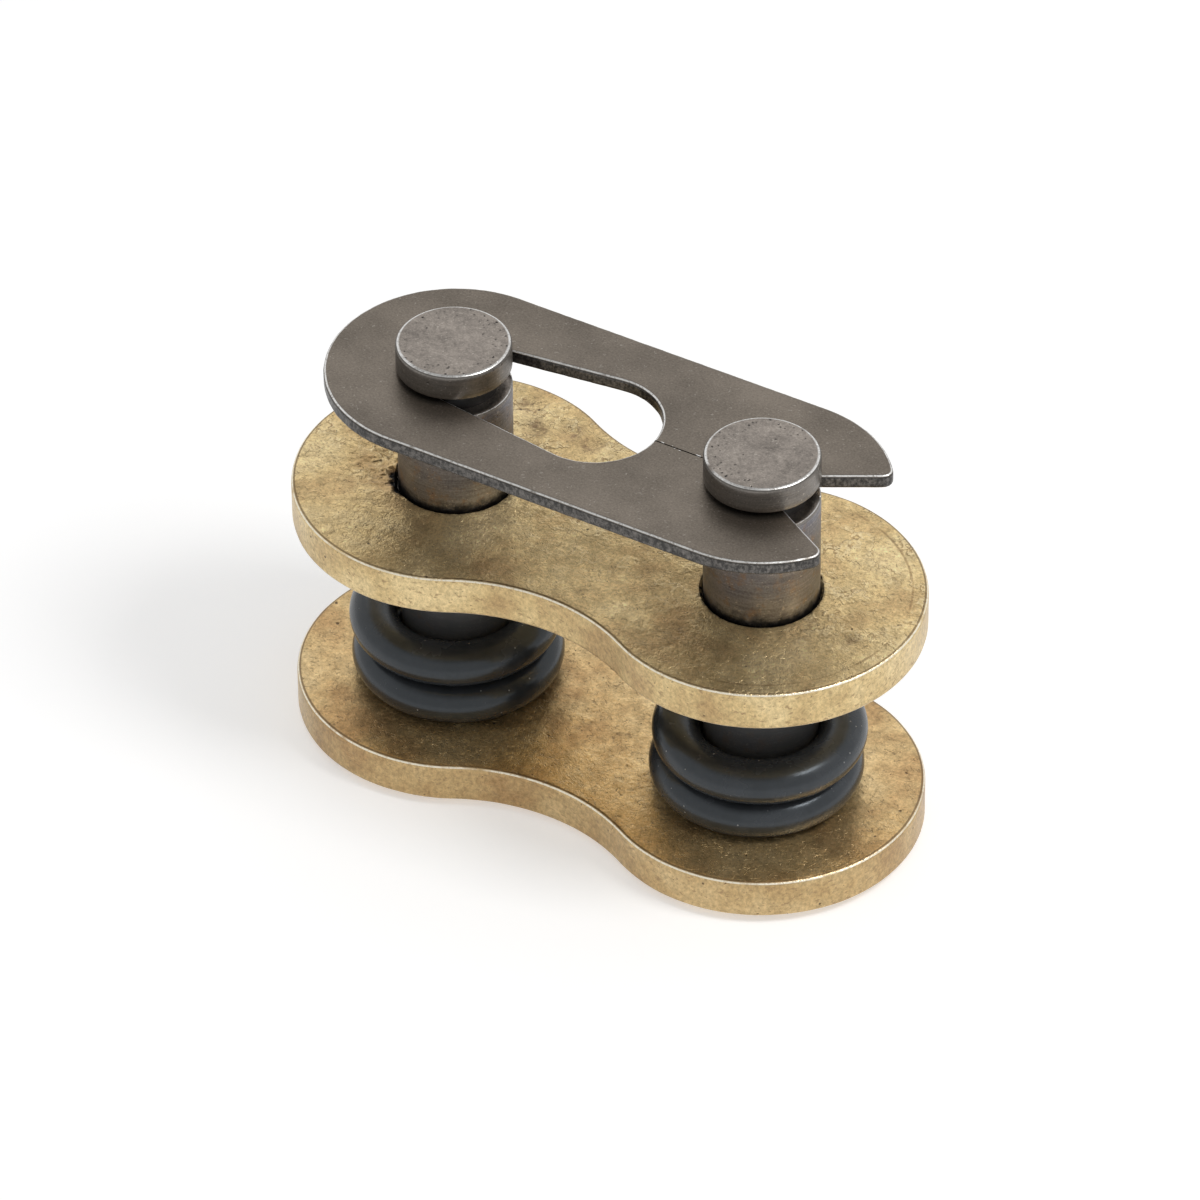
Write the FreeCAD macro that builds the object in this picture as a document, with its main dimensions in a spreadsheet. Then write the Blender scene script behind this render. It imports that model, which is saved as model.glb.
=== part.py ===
import FreeCAD, Part
import math
import os

import Sketcher

# Connecting link of a 15.875 mm pitch sealed roller chain, standing on its fixed plate.
# +X runs from pin A (closed end of the clip) to pin B (open end), +Z runs up the pins,
# and the origin lies midway between the pins, level with their lower ends.

doc = FreeCAD.newDocument("chain_connecting_link")
sheet = doc.addObject("Spreadsheet::Sheet", "sizes")

# Driving sizes, in millimetres, with the one angle in degrees
SIZES = {
    "pitch": 15.875,
    "pin_diameter": 5.24,
    "pin_length": 21.0,
    "pin_proud": 0.35,
    "tail_chamfer": 0.25,
    "head_thickness": 1.28,
    "head_round": 0.18,
    "neck_diameter": 4.0,
    "shoulder_chamfer": 0.1,
    "plate_thickness": 2.0,
    "plate_end_radius": 7.45,
    "waist_depth": 2.01,
    "plate_edge_round": 0.2,
    "outer_bore_clearance": 0.05,
    "outer_bore_chamfer": 0.12,
    "plate_ring_gap": 5.01,
    "ring_section": 1.98,
    "ring_bore": 5.8,
    "ring_a_lower_shift_x": 0.02,
    "ring_a_lower_shift_y": -0.1,
    "ring_a_upper_shift_x": -0.17,
    "ring_a_upper_shift_y": 0.04,
    "ring_b_lower_shift_x": -0.13,
    "ring_b_lower_shift_y": -0.15,
    "ring_b_upper_shift_x": 0.02,
    "ring_b_upper_shift_y": -0.12,
    "clip_thickness": 0.7,
    "clip_end_radius": 5.85,
    "clip_seat_clearance": 0.05,
    "clip_gap_above": 0.21,
    "clip_gap_below": 0.13,
    "clip_window_radius": 3.0,
    "clip_slit_length": 3.5,
    "clip_slit_width": 0.05,
    "clip_mouth_half_angle": 30.0,
    "clip_tip_half_width": 3.1,
    "clip_tip_round": 0.3,
    "clip_throat_round": 0.3,
    "clip_edge_round": 0.1,
}

# Sizes worked out from the driving ones, written as the sheet's expressions
PIN_RADIUS = "sizes.pin_diameter / 2"
NECK_RADIUS = "sizes.neck_diameter / 2"
HALF_PITCH = "sizes.pitch / 2"
HEAD_UNDERSIDE = "sizes.pin_length - sizes.head_thickness"
GROOVE_WIDTH = "sizes.clip_thickness + sizes.clip_gap_above + sizes.clip_gap_below"
SHOULDER = f"{HEAD_UNDERSIDE} - ({GROOVE_WIDTH})"
CLIP_UNDERSIDE = f"{SHOULDER} + sizes.clip_gap_below"
CLIP_SEAT_RADIUS = f"{NECK_RADIUS} + sizes.clip_seat_clearance"
WAIST_HALF_WIDTH = "(sizes.plate_end_radius - sizes.waist_depth)"
WAIST_RADIUS = (
    f"(({HALF_PITCH})^2 + {WAIST_HALF_WIDTH}^2 - sizes.plate_end_radius^2)"
    " / (2 * sizes.waist_depth)"
)
OUTER_BORE_RADIUS = f"{PIN_RADIUS} + sizes.outer_bore_clearance"
BASE_PLATE_TOP = "sizes.pin_proud + sizes.plate_thickness"
OUTER_PLATE_UNDERSIDE = f"{BASE_PLATE_TOP} + 2 * sizes.ring_section + sizes.plate_ring_gap"
RING_MEAN_RADIUS = "(sizes.ring_bore + sizes.ring_section) / 2"

# The groove's cutting profile runs this far outside the pin
CUT_MARGIN = 0.5

# How near a measured place must be to count as the same, in millimetres
SAME_PLACE = 1e-4

# Points and parts of a sketch, as its constraints number them
START = 1
END = 2
CENTRE = 3
ORIGIN = (-1, 1)
X_AXIS = -1


def fill_sheet():
    """Write each driving size into the sheet under its own alias."""
    for row, (alias, value) in enumerate(SIZES.items(), start=1):
        sheet.set(f"A{row}", alias)
        sheet.set(f"B{row}", str(value))
        sheet.setAlias(f"B{row}", alias)
    doc.recompute()


def value_of(expression):
    """Give the number that an expression on the sheet's sizes works out to."""
    result = sheet.evalExpression(expression)
    return float(getattr(result, "Value", result))


def new_body(label):
    """Start the solid body of one sub-part."""
    body = doc.addObject("PartDesign::Body", label)
    body.Label = label
    return body


def origin_plane(body, role):
    """Find one of the body's own reference planes."""
    return next(feature for feature in body.Origin.OriginFeatures if feature.Role == role)


def new_sketch(body, name, role="XY_Plane"):
    """Lay a sketch on one of the body's own reference planes."""
    sketch = body.newObject("Sketcher::SketchObject", name)
    sketch.AttachmentSupport = [(origin_plane(body, role), "")]
    sketch.MapMode = "FlatFace"
    return sketch


def drive(sketch, kind, places, name, expression):
    """Add a dimension to a sketch and bind it to the sheet."""
    number = value_of(expression)
    if kind == "Angle":
        number = math.radians(number)
        expression = f"({expression}) * 1 deg"
    index = sketch.addConstraint(Sketcher.Constraint(kind, *places, number))
    sketch.renameConstraint(index, name)
    sketch.setExpression(f"Constraints.{name}", expression)


def tie(sketch, kind, *places):
    """Add a geometric constraint, which has no size, to a sketch."""
    sketch.addConstraint(Sketcher.Constraint(kind, *places))


def add_arc(sketch, centre, radius, start_angle, end_angle):
    """Draw an arc that turns anticlockwise between two angles in radians."""
    circle = Part.Circle(FreeCAD.Vector(*centre, 0), FreeCAD.Vector(0, 0, 1), radius)
    return sketch.addGeometry(Part.ArcOfCircle(circle, start_angle, end_angle), False)


def add_line(sketch, start, end):
    """Draw a straight line between two points."""
    line = Part.LineSegment(FreeCAD.Vector(*start, 0), FreeCAD.Vector(*end, 0))
    return sketch.addGeometry(line, False)


def pad_sketch(body, sketch, name, length):
    """Raise a sketch into a solid."""
    pad = body.newObject("PartDesign::Pad", name)
    pad.Profile = sketch
    pad.setExpression("Length", length)
    sketch.Visibility = False
    doc.recompute()
    return pad


def edge_names(feature, wanted):
    """Name the feature's edges that pass a test."""
    edges = enumerate(feature.Shape.Edges, start=1)
    return [f"Edge{number}" for number, edge in edges if wanted(edge)]


def soften(body, kind, name, wanted, size):
    """Round or chamfer those edges of the body's last feature that pass a test."""
    base = body.Tip
    feature = body.newObject(f"PartDesign::{kind}", name)
    feature.Base = (base, edge_names(base, wanted))
    feature.setExpression("Radius" if kind == "Fillet" else "Size", size)
    doc.recompute()
    return feature


def is_level_at(edge, heights):
    """Tell whether the whole edge lies level at one of the heights."""
    box = edge.BoundBox
    is_level = box.ZLength < SAME_PLACE
    return is_level and any(abs(box.ZMin - height) < SAME_PLACE for height in heights)


def is_round_of(edge, radius):
    """Tell whether the edge is part of a circle of one radius."""
    is_circle = isinstance(edge.Curve, Part.Circle)
    return is_circle and abs(edge.Curve.Radius - radius) < SAME_PLACE


def make_pin(label, side):
    """Make one pin: a ground shaft with a clip groove that leaves a head on its top."""
    body = new_body(label)
    radius = value_of(PIN_RADIUS)

    section = new_sketch(body, "pin_section")
    circle = Part.Circle(FreeCAD.Vector(), FreeCAD.Vector(0, 0, 1), radius)
    section.addGeometry(circle, False)
    tie(section, "Coincident", 0, CENTRE, *ORIGIN)
    drive(section, "Radius", (0,), "shaft_radius", PIN_RADIUS)
    pad_sketch(body, section, "shaft", "sizes.pin_length")

    profile = new_sketch(body, "groove_profile", "XZ_Plane")
    inside = value_of(NECK_RADIUS)
    outside = radius + CUT_MARGIN
    low = value_of(SHOULDER)
    high = value_of(HEAD_UNDERSIDE)
    corners = [(inside, low), (outside, low), (outside, high), (inside, high)]
    for index, corner in enumerate(corners):
        add_line(profile, corner, corners[(index + 1) % len(corners)])
    for index in range(len(corners)):
        tie(profile, "Coincident", index, END, (index + 1) % len(corners), START)
        tie(profile, "Vertical" if index % 2 else "Horizontal", index)
    drive(profile, "DistanceX", (*ORIGIN, 0, START), "neck_radius", NECK_RADIUS)
    drive(profile, "DistanceX", (*ORIGIN, 0, END), "cut_radius", f"{PIN_RADIUS} + {CUT_MARGIN}")
    drive(profile, "DistanceY", (*ORIGIN, 0, START), "shoulder_height", SHOULDER)
    drive(profile, "DistanceY", (0, START, 2, END), "groove_width", GROOVE_WIDTH)
    groove = body.newObject("PartDesign::Groove", "clip_groove")
    groove.Profile = profile
    groove.ReferenceAxis = (profile, ["V_Axis"])
    groove.Angle = 360.0
    profile.Visibility = False
    doc.recompute()

    def is_tail_rim(edge):
        return is_round_of(edge, radius) and is_level_at(edge, [0.0])

    def is_head_rim(edge):
        return is_round_of(edge, radius) and is_level_at(edge, [value_of("sizes.pin_length")])

    def is_shoulder_rim(edge):
        return is_round_of(edge, radius) and is_level_at(edge, [low])

    soften(body, "Chamfer", "tail_edge", is_tail_rim, "sizes.tail_chamfer")
    soften(body, "Fillet", "head_edge", is_head_rim, "sizes.head_round")
    soften(body, "Chamfer", "shoulder_edge", is_shoulder_rim, "sizes.shoulder_chamfer")
    body.setExpression("Placement.Base.x", f"{side} * {HALF_PITCH}")
    return body


def draw_plate_outline(sketch):
    """Draw a link plate's outline: two round ends joined by tangent waist arcs."""
    half_pitch = value_of(HALF_PITCH)
    end_radius = value_of("sizes.plate_end_radius")
    waist_radius = value_of(WAIST_RADIUS)
    rise = value_of(WAIST_HALF_WIDTH) + waist_radius
    lean = math.atan2(rise, half_pitch)
    spread = math.pi - lean

    right = add_arc(sketch, (half_pitch, 0), end_radius, -spread, spread)
    top = add_arc(sketch, (0, rise), waist_radius, math.pi + lean, 2 * math.pi - lean)
    left = add_arc(sketch, (-half_pitch, 0), end_radius, math.pi - spread, math.pi + spread)
    bottom = add_arc(sketch, (0, -rise), waist_radius, lean, math.pi - lean)
    tie(sketch, "Tangent", right, END, top, END)
    tie(sketch, "Tangent", top, START, left, START)
    tie(sketch, "Tangent", left, END, bottom, END)
    tie(sketch, "Tangent", bottom, START, right, START)
    tie(sketch, "PointOnObject", right, CENTRE, X_AXIS)
    tie(sketch, "PointOnObject", left, CENTRE, X_AXIS)
    tie(sketch, "Equal", right, left)
    tie(sketch, "Equal", top, bottom)
    drive(sketch, "DistanceX", (*ORIGIN, right, CENTRE), "right_centre", HALF_PITCH)
    drive(sketch, "DistanceX", (left, CENTRE, *ORIGIN), "left_centre", HALF_PITCH)
    drive(sketch, "Radius", (right,), "end_radius", "sizes.plate_end_radius")
    drive(sketch, "Radius", (top,), "waist_radius", WAIST_RADIUS)


def make_plate(label, bore_radius, underside):
    """Make one link plate: a blanked outline with rounded edges and two pin bores."""
    body = new_body(label)
    outline = new_sketch(body, "plate_outline")
    draw_plate_outline(outline)
    blank = pad_sketch(body, outline, "blank", "sizes.plate_thickness")
    faces = [0.0, value_of("sizes.plate_thickness")]
    soften(
        body, "Fillet", "worn_edges", lambda edge: is_level_at(edge, faces), "sizes.plate_edge_round"
    )

    centres = new_sketch(body, "bore_circles")
    for side in (-1, 1):
        centre = FreeCAD.Vector(side * value_of(HALF_PITCH), 0, 0)
        circle = Part.Circle(centre, FreeCAD.Vector(0, 0, 1), value_of(bore_radius))
        centres.addGeometry(circle, False)
    tie(centres, "PointOnObject", 0, CENTRE, X_AXIS)
    tie(centres, "PointOnObject", 1, CENTRE, X_AXIS)
    tie(centres, "Equal", 0, 1)
    drive(centres, "DistanceX", (0, CENTRE, *ORIGIN), "bore_a_place", HALF_PITCH)
    drive(centres, "DistanceX", (*ORIGIN, 1, CENTRE), "bore_b_place", HALF_PITCH)
    drive(centres, "Radius", (0,), "bore_radius", bore_radius)
    bores = body.newObject("PartDesign::Pocket", "pin_bores")
    bores.Profile = centres
    bores.Type = "ThroughAll"
    bores.Reversed = True
    centres.Visibility = False
    doc.recompute()
    if bores.Shape.Volume >= blank.Shape.Volume:
        raise RuntimeError(f"the bores of {label} cut nothing")
    body.setExpression("Placement.Base.z", underside)
    return body


def make_base_plate():
    """Make the fixed plate, whose bores grip the pins' lower ends."""
    return make_plate("base_plate", PIN_RADIUS, "sizes.pin_proud")


def make_outer_plate():
    """Make the loose plate, which slides on the pins, with its bores eased at both faces."""
    body = make_plate("outer_plate", OUTER_BORE_RADIUS, OUTER_PLATE_UNDERSIDE)
    faces = [0.0, value_of("sizes.plate_thickness")]
    radius = value_of(OUTER_BORE_RADIUS)

    def is_bore_rim(edge):
        return is_round_of(edge, radius) and is_level_at(edge, faces)

    soften(body, "Chamfer", "bore_edges", is_bore_rim, "sizes.outer_bore_chamfer")
    return body


def make_ring(pin_name, side, level_name, level):
    """Make one sealing ring, lying a little off its pin's axis where it was dropped on."""
    label = f"o_ring_{pin_name}_{level_name}"
    shift = f"sizes.ring_{pin_name}_{level_name}_shift"
    ring = doc.addObject("Part::Torus", label)
    ring.Label = label
    ring.setExpression("Radius1", RING_MEAN_RADIUS)
    ring.setExpression("Radius2", "sizes.ring_section / 2")
    ring.setExpression("Placement.Base.x", f"{side} * {HALF_PITCH} + {shift}_x")
    ring.setExpression("Placement.Base.y", f"{shift}_y")
    height = f"{BASE_PLATE_TOP} + ({level} + 0.5) * sizes.ring_section"
    ring.setExpression("Placement.Base.z", height)
    return ring


def draw_clip_leg(sketch):
    """Draw one leg of the clip, from its closed end round pin A to its prong past pin B."""
    pin_a = (-value_of(HALF_PITCH), 0)
    pin_b = (value_of(HALF_PITCH), 0)
    seat = value_of(CLIP_SEAT_RADIUS)
    end_radius = value_of("sizes.clip_end_radius")
    window = value_of("sizes.clip_window_radius")
    slit = value_of("sizes.clip_slit_width") / 2
    angle = math.radians(value_of("sizes.clip_mouth_half_angle"))
    tip_y = value_of("sizes.clip_tip_half_width")

    seat_end_x = pin_b[0] - math.sqrt(seat ** 2 - slit ** 2)
    window_end_x = seat_end_x - value_of("sizes.clip_slit_length")
    window_x = window_end_x - math.sqrt(window ** 2 - slit ** 2)
    taper = math.asin((window - seat) / (window_x - pin_a[0]))
    upright = math.pi / 2 + taper
    taper_start = (
        pin_a[0] + seat * math.cos(upright),
        seat * math.sin(upright),
    )
    taper_end = (
        window_x + window * math.cos(upright),
        window * math.sin(upright),
    )
    tip = (pin_b[0] + math.sqrt(end_radius ** 2 - tip_y ** 2), tip_y)
    along = (tip[0] - pin_b[0]) * math.cos(angle) + tip_y * math.sin(angle)
    reach = along - math.sqrt(along ** 2 - end_radius ** 2 + seat ** 2)
    throat = (tip[0] - reach * math.cos(angle), tip_y - reach * math.sin(angle))
    throat_angle = math.atan2(throat[1], throat[0] - pin_b[0])
    tip_angle = math.atan2(tip_y, tip[0] - pin_b[0])
    window_slit_angle = math.asin(slit / window)
    seat_slit_angle = math.pi - math.asin(slit / seat)

    middle = add_line(sketch, (pin_a[0] - end_radius, 0), (pin_a[0] - seat, 0))
    seat_a = add_arc(sketch, pin_a, seat, upright, math.pi)
    taper_line = add_line(sketch, taper_start, taper_end)
    window_arc = add_arc(sketch, (window_x, 0), window, window_slit_angle, upright)
    slit_line = add_line(sketch, (window_end_x, slit), (seat_end_x, slit))
    seat_b = add_arc(sketch, pin_b, seat, throat_angle, seat_slit_angle)
    mouth = add_line(sketch, throat, tip)
    prong = add_arc(sketch, pin_b, end_radius, tip_angle, math.pi / 2)
    flank = add_line(sketch, (pin_b[0], end_radius), (pin_a[0], end_radius))
    closed_end = add_arc(sketch, pin_a, end_radius, math.pi / 2, math.pi)

    tie(sketch, "Coincident", middle, END, seat_a, END)
    tie(sketch, "Tangent", seat_a, START, taper_line, START)
    tie(sketch, "Tangent", taper_line, END, window_arc, END)
    tie(sketch, "Coincident", window_arc, START, slit_line, START)
    tie(sketch, "Coincident", slit_line, END, seat_b, END)
    tie(sketch, "Coincident", seat_b, START, mouth, START)
    tie(sketch, "Coincident", mouth, END, prong, START)
    tie(sketch, "Tangent", prong, END, flank, START)
    tie(sketch, "Tangent", flank, END, closed_end, START)
    tie(sketch, "Coincident", closed_end, END, middle, START)
    tie(sketch, "PointOnObject", middle, START, X_AXIS)
    tie(sketch, "PointOnObject", middle, END, X_AXIS)
    tie(sketch, "PointOnObject", seat_a, CENTRE, X_AXIS)
    tie(sketch, "PointOnObject", seat_b, CENTRE, X_AXIS)
    tie(sketch, "PointOnObject", window_arc, CENTRE, X_AXIS)
    tie(sketch, "Coincident", closed_end, CENTRE, seat_a, CENTRE)
    tie(sketch, "Coincident", prong, CENTRE, seat_b, CENTRE)
    tie(sketch, "Horizontal", slit_line)
    drive(sketch, "DistanceX", (seat_a, CENTRE, *ORIGIN), "pin_a_place", HALF_PITCH)
    drive(sketch, "DistanceX", (*ORIGIN, seat_b, CENTRE), "pin_b_place", HALF_PITCH)
    drive(sketch, "Radius", (seat_a,), "seat_a_radius", CLIP_SEAT_RADIUS)
    drive(sketch, "Radius", (seat_b,), "seat_b_radius", CLIP_SEAT_RADIUS)
    drive(sketch, "Radius", (window_arc,), "window_radius", "sizes.clip_window_radius")
    drive(sketch, "Radius", (prong,), "prong_radius", "sizes.clip_end_radius")
    drive(sketch, "Radius", (closed_end,), "end_radius", "sizes.clip_end_radius")
    slit_ends = (slit_line, START, slit_line, END)
    drive(sketch, "DistanceX", slit_ends, "slit_length", "sizes.clip_slit_length")
    slit_height = (*ORIGIN, slit_line, START)
    drive(sketch, "DistanceY", slit_height, "half_slit", "sizes.clip_slit_width / 2")
    drive(sketch, "Angle", (mouth,), "mouth_angle", "sizes.clip_mouth_half_angle")
    tip_height = (*ORIGIN, mouth, END)
    drive(sketch, "DistanceY", tip_height, "tip_half_width", "sizes.clip_tip_half_width")
    return throat, tip


def make_clip():
    """Make the spring clip: one blanked strip with a keyhole window, a slit and two prongs."""
    body = new_body("spring_clip")
    outline = new_sketch(body, "leg_outline")
    throat, tip = draw_clip_leg(outline)
    leg = pad_sketch(body, outline, "leg", "sizes.clip_thickness")
    pair = body.newObject("PartDesign::Mirrored", "both_legs")
    pair.Originals = [leg]
    pair.MirrorPlane = (origin_plane(body, "XZ_Plane"), [""])
    body.Tip = pair
    doc.recompute()

    def stands_at(edge, place):
        start = edge.Vertexes[0].Point
        is_upright = edge.BoundBox.ZLength > SAME_PLACE
        off_x = abs(start.x - place[0])
        off_y = abs(abs(start.y) - place[1])
        return is_upright and off_x < SAME_PLACE and off_y < SAME_PLACE

    def is_tip(edge):
        return stands_at(edge, tip)

    def is_throat(edge):
        return stands_at(edge, throat)

    soften(body, "Fillet", "rounded_tips", is_tip, "sizes.clip_tip_round")
    soften(body, "Fillet", "rounded_throat", is_throat, "sizes.clip_throat_round")

    faces = [0.0, value_of("sizes.clip_thickness")]
    half_slit = value_of("sizes.clip_slit_width") / 2

    def is_worn(edge):
        box = edge.BoundBox
        in_slit = box.YLength < SAME_PLACE and abs(abs(box.YMin) - half_slit) < SAME_PLACE
        return is_level_at(edge, faces) and not in_slit

    soften(body, "Fillet", "worn_edges", is_worn, "sizes.clip_edge_round")
    body.setExpression("Placement.Base.z", CLIP_UNDERSIDE)
    return body


def check_and_write(parts):
    """Stop if anything failed, then write each sub-part to its own file."""
    doc.recompute()
    for item in doc.Objects:
        if "Invalid" in item.State or "Error" in item.State:
            raise RuntimeError(f"{item.Label} failed: {item.State}")
    os.makedirs("parts", exist_ok=True)
    for part in parts:
        shape = part.Shape
        if shape.isNull() or not shape.isValid():
            raise RuntimeError(f"{part.Label} has no sound shape")
        print(f"{part.Label}: {len(shape.Solids)} solid, {shape.Volume:.3f} mm3")
    for part in parts:
        part.Shape.exportStep(f"parts/{part.Label}.step")


fill_sheet()
link_parts = [
    make_base_plate(),
    make_pin("pin_a", -1),
    make_pin("pin_b", 1),
    make_ring("a", -1, "lower", 0),
    make_ring("a", -1, "upper", 1),
    make_ring("b", 1, "lower", 0),
    make_ring("b", 1, "upper", 1),
    make_outer_plate(),
    make_clip(),
]
check_and_write(link_parts)
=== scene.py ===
"""Looks of a roller chain's connecting link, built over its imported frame.

The link stands on its fixed plate. Two grooved pins rise from it through four sealing rings
and a loose plate, and a keyhole spring clip sits in their grooves. Shapes are worked in
millimetres and are brought to metres when a piece is finished.
"""

import logging
import math
from abc import ABC, abstractmethod
from collections.abc import Callable
from dataclasses import dataclass
from enum import Enum

import bmesh
import bpy
from bmesh.types import BMEdge, BMVert
from bpy.types import ID, Material, Mesh, Node, NodeSocket, NodeTree, Object, World
from mathutils import Matrix, Vector, noise


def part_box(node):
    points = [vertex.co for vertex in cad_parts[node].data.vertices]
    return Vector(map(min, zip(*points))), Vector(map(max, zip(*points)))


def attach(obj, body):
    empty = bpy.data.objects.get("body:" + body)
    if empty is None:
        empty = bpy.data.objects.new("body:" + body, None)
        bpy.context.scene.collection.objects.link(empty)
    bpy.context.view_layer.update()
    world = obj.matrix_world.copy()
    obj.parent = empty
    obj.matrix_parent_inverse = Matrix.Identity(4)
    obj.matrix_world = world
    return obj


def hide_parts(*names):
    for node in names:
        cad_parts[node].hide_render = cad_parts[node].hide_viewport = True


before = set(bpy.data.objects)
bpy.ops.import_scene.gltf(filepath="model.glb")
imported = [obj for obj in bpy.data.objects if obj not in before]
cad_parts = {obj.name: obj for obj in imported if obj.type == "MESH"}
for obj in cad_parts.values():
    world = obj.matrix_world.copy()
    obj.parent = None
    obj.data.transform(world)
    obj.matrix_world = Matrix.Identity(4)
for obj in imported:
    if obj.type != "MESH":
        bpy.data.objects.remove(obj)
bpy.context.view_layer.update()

log = logging.getLogger("connecting_link")

MM = 0.001
# Rounded edges carry a wear value from 0 to 1. It places bright lines of real wear and painted
# highlight, and the painted dark lines beside them. Below zero it marks hollows darkened by dirt
# and painted shade.
WEAR = "edge_wear"

# Limits for tests on a mesh, where distances are in millimetres.
SAME_PLACE = 1e-4
LEVEL = 0.95
NEARLY = 0.99
MANY_SIDES = 40
SHARP_TURN = math.radians(50)
SMOOTH_TURN = math.radians(35)
ORIGIN = Vector((0, 0, 0))
UP = Vector((0, 0, 1))

# Nearly all of a noise pattern lies below the top, and within the spread under it.
NOISE_TOP = 0.68
NOISE_SPREAD = 0.36

Triple = tuple[float, float, float]
Colour = Triple
Wired = float | Triple | NodeSocket
Inputs = dict[str | int, Wired]


class Body(Enum):
    """The two bodies that the link's pieces ride on."""

    PINNED = "pinned_link"
    LOOSE = "loose_plate"


class Slot(Enum):
    """The record's material slots."""

    PLATING = "plated_steel"
    PIN = "pin_steel"
    RUBBER = "ring_rubber"
    CLIP = "clip_steel"


@dataclass(frozen=True)
class Extent:
    """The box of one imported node, in millimetres."""

    low: Vector
    high: Vector

    @classmethod
    def of_node(cls, node: str) -> "Extent":
        """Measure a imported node.

        Args:
            node: The node's name.

        Returns:
            Its box in millimetres.
        """
        low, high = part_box(node)
        return cls(low / MM, high / MM)

    @property
    def centre(self) -> Vector:
        """The middle of the box."""
        return (self.low + self.high) / 2

    @property
    def size(self) -> Vector:
        """The box's length along each axis."""
        return self.high - self.low


class Workpiece:
    """A piece on the bench: its mesh in millimetres and the cuts that all pieces share."""

    def __init__(self) -> None:
        """Start with an empty mesh that can record worn edges."""
        self.mesh = bmesh.new()
        self.wear = self.mesh.verts.layers.float.new(WEAR)

    def start(self, place: Vector) -> BMVert:
        """Put down the first point of an outline."""
        return self.mesh.verts.new(place)

    def arc(self, end: BMVert, centre: Vector, angle: float, steps: int) -> BMVert:
        """Draw a level arc on from an outline's end.

        Args:
            end: The outline's last point.
            centre: The arc's centre.
            angle: How far to turn, in radians, anticlockwise seen from above.
            steps: The number of short sides.

        Returns:
            The outline's new last point.
        """
        return self.draw(end, steps, cent=centre, angle=angle)

    def line(self, end: BMVert, target: Vector, steps: int) -> BMVert:
        """Draw a straight line on from an outline's end.

        Args:
            end: The outline's last point.
            target: Where the line ends.
            steps: The number of equal steps.

        Returns:
            The outline's new last point.
        """
        return self.draw(end, steps, cent=ORIGIN, angle=0, dvec=(target - end.co) / steps)

    def draw(self, end: BMVert, steps: int, **path: Vector | float) -> BMVert:
        """Spin an outline's end along a path, and return its new last point."""
        drawn = bmesh.ops.spin(self.mesh, geom=[end], axis=UP, steps=steps, **path)
        return next(part for part in drawn["geom_last"] if isinstance(part, BMVert))

    def fill_between(self, rows: int) -> None:
        """Bridge the two outlines that are drawn, with rows of faces between them."""
        bridge = bmesh.ops.bridge_loops(self.mesh, edges=self.mesh.edges[:])
        bmesh.ops.subdivide_edges(
            self.mesh, edges=bridge["edges"], cuts=rows - 1, use_grid_fill=True
        )

    def fill_inside(self) -> None:
        """Fill the closed outline that is drawn with one face."""
        bmesh.ops.contextual_create(self.mesh, geom=self.mesh.edges[:])

    def line_flats(self, width: float) -> None:
        """Run a narrow band of faces round inside each large flat, so that it shades flat.

        Args:
            width: The band's width.
        """
        self.mesh.normal_update()
        flats = [face for face in self.mesh.faces if len(face.verts) > MANY_SIDES]
        bmesh.ops.inset_region(self.mesh, faces=flats, thickness=width, use_even_offset=True)

    def refine(self, place: Vector, reach: float, cuts: int) -> None:
        """Divide the faces round a place more finely."""
        near = [edge for edge in self.mesh.edges if (middle_of(edge) - place).length < reach]
        bmesh.ops.subdivide_edges(self.mesh, edges=near, cuts=cuts, use_grid_fill=True)

    def mirror(self, axis: str) -> None:
        """Add the mirrored half, joined where it meets the first."""
        everything = self.mesh.verts[:] + self.mesh.edges[:] + self.mesh.faces[:]
        bmesh.ops.mirror(self.mesh, geom=everything, axis=axis, merge_dist=SAME_PLACE)

    def raise_sheet(self, thickness: float, wall_rows: int) -> None:
        """Thicken a flat sheet upwards into a closed solid.

        Args:
            thickness: The solid's height.
            wall_rows: The rows of faces up each wall.
        """
        raised = bmesh.ops.extrude_face_region(self.mesh, geom=self.mesh.faces[:])
        top = [part for part in raised["geom"] if isinstance(part, BMVert)]
        bmesh.ops.translate(self.mesh, verts=top, vec=UP * thickness)
        uprights = [edge for edge in self.mesh.edges if height_of(edge) > thickness / 2]
        bmesh.ops.subdivide_edges(self.mesh, edges=uprights, cuts=wall_rows - 1)
        self.face_outwards()

    def turn_full(self, steps: int) -> None:
        """Turn the drawn outline a full circle about the upright axis.

        Args:
            steps: The number of short sides round the circle.
        """
        outline = self.mesh.verts[:] + self.mesh.edges[:]
        bmesh.ops.spin(
            self.mesh,
            geom=outline,
            cent=ORIGIN,
            axis=UP,
            angle=math.tau,
            steps=steps,
            use_merge=True,
        )
        self.face_outwards()

    def face_outwards(self) -> None:
        """Merge doubled points, then turn every face outwards."""
        bmesh.ops.remove_doubles(self.mesh, verts=self.mesh.verts[:], dist=SAME_PLACE)
        bmesh.ops.recalc_face_normals(self.mesh, faces=self.mesh.faces[:])
        self.mesh.normal_update()

    def round_edges(
        self, wanted: Callable[[BMEdge], bool], size: float, segments: int, wear: float
    ) -> None:
        """Round the sharp edges that pass a test, and record how worn they are.

        Args:
            wanted: The test that a sharp edge has to pass.
            size: How far the rounding reaches from the edge.
            segments: The faces across the rounding, where one makes a chamfer.
            wear: The wear value of the rounding's middle, from 0 to 1, which places bright edge
                lines of wear and painted highlight.
        """
        self.mesh.normal_update()
        edges = [edge for edge in self.mesh.edges if is_sharp(edge) and wanted(edge)]
        rounded = bmesh.ops.bevel(
            self.mesh,
            geom=edges,
            offset=size,
            offset_type="OFFSET",
            segments=segments,
            profile=0.5,
            affect="EDGES",
            material=-1,
        )
        band = set(rounded["faces"])
        for vertex in rounded["verts"]:
            if all(face in band for face in vertex.link_faces):
                vertex[self.wear] = wear

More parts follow.
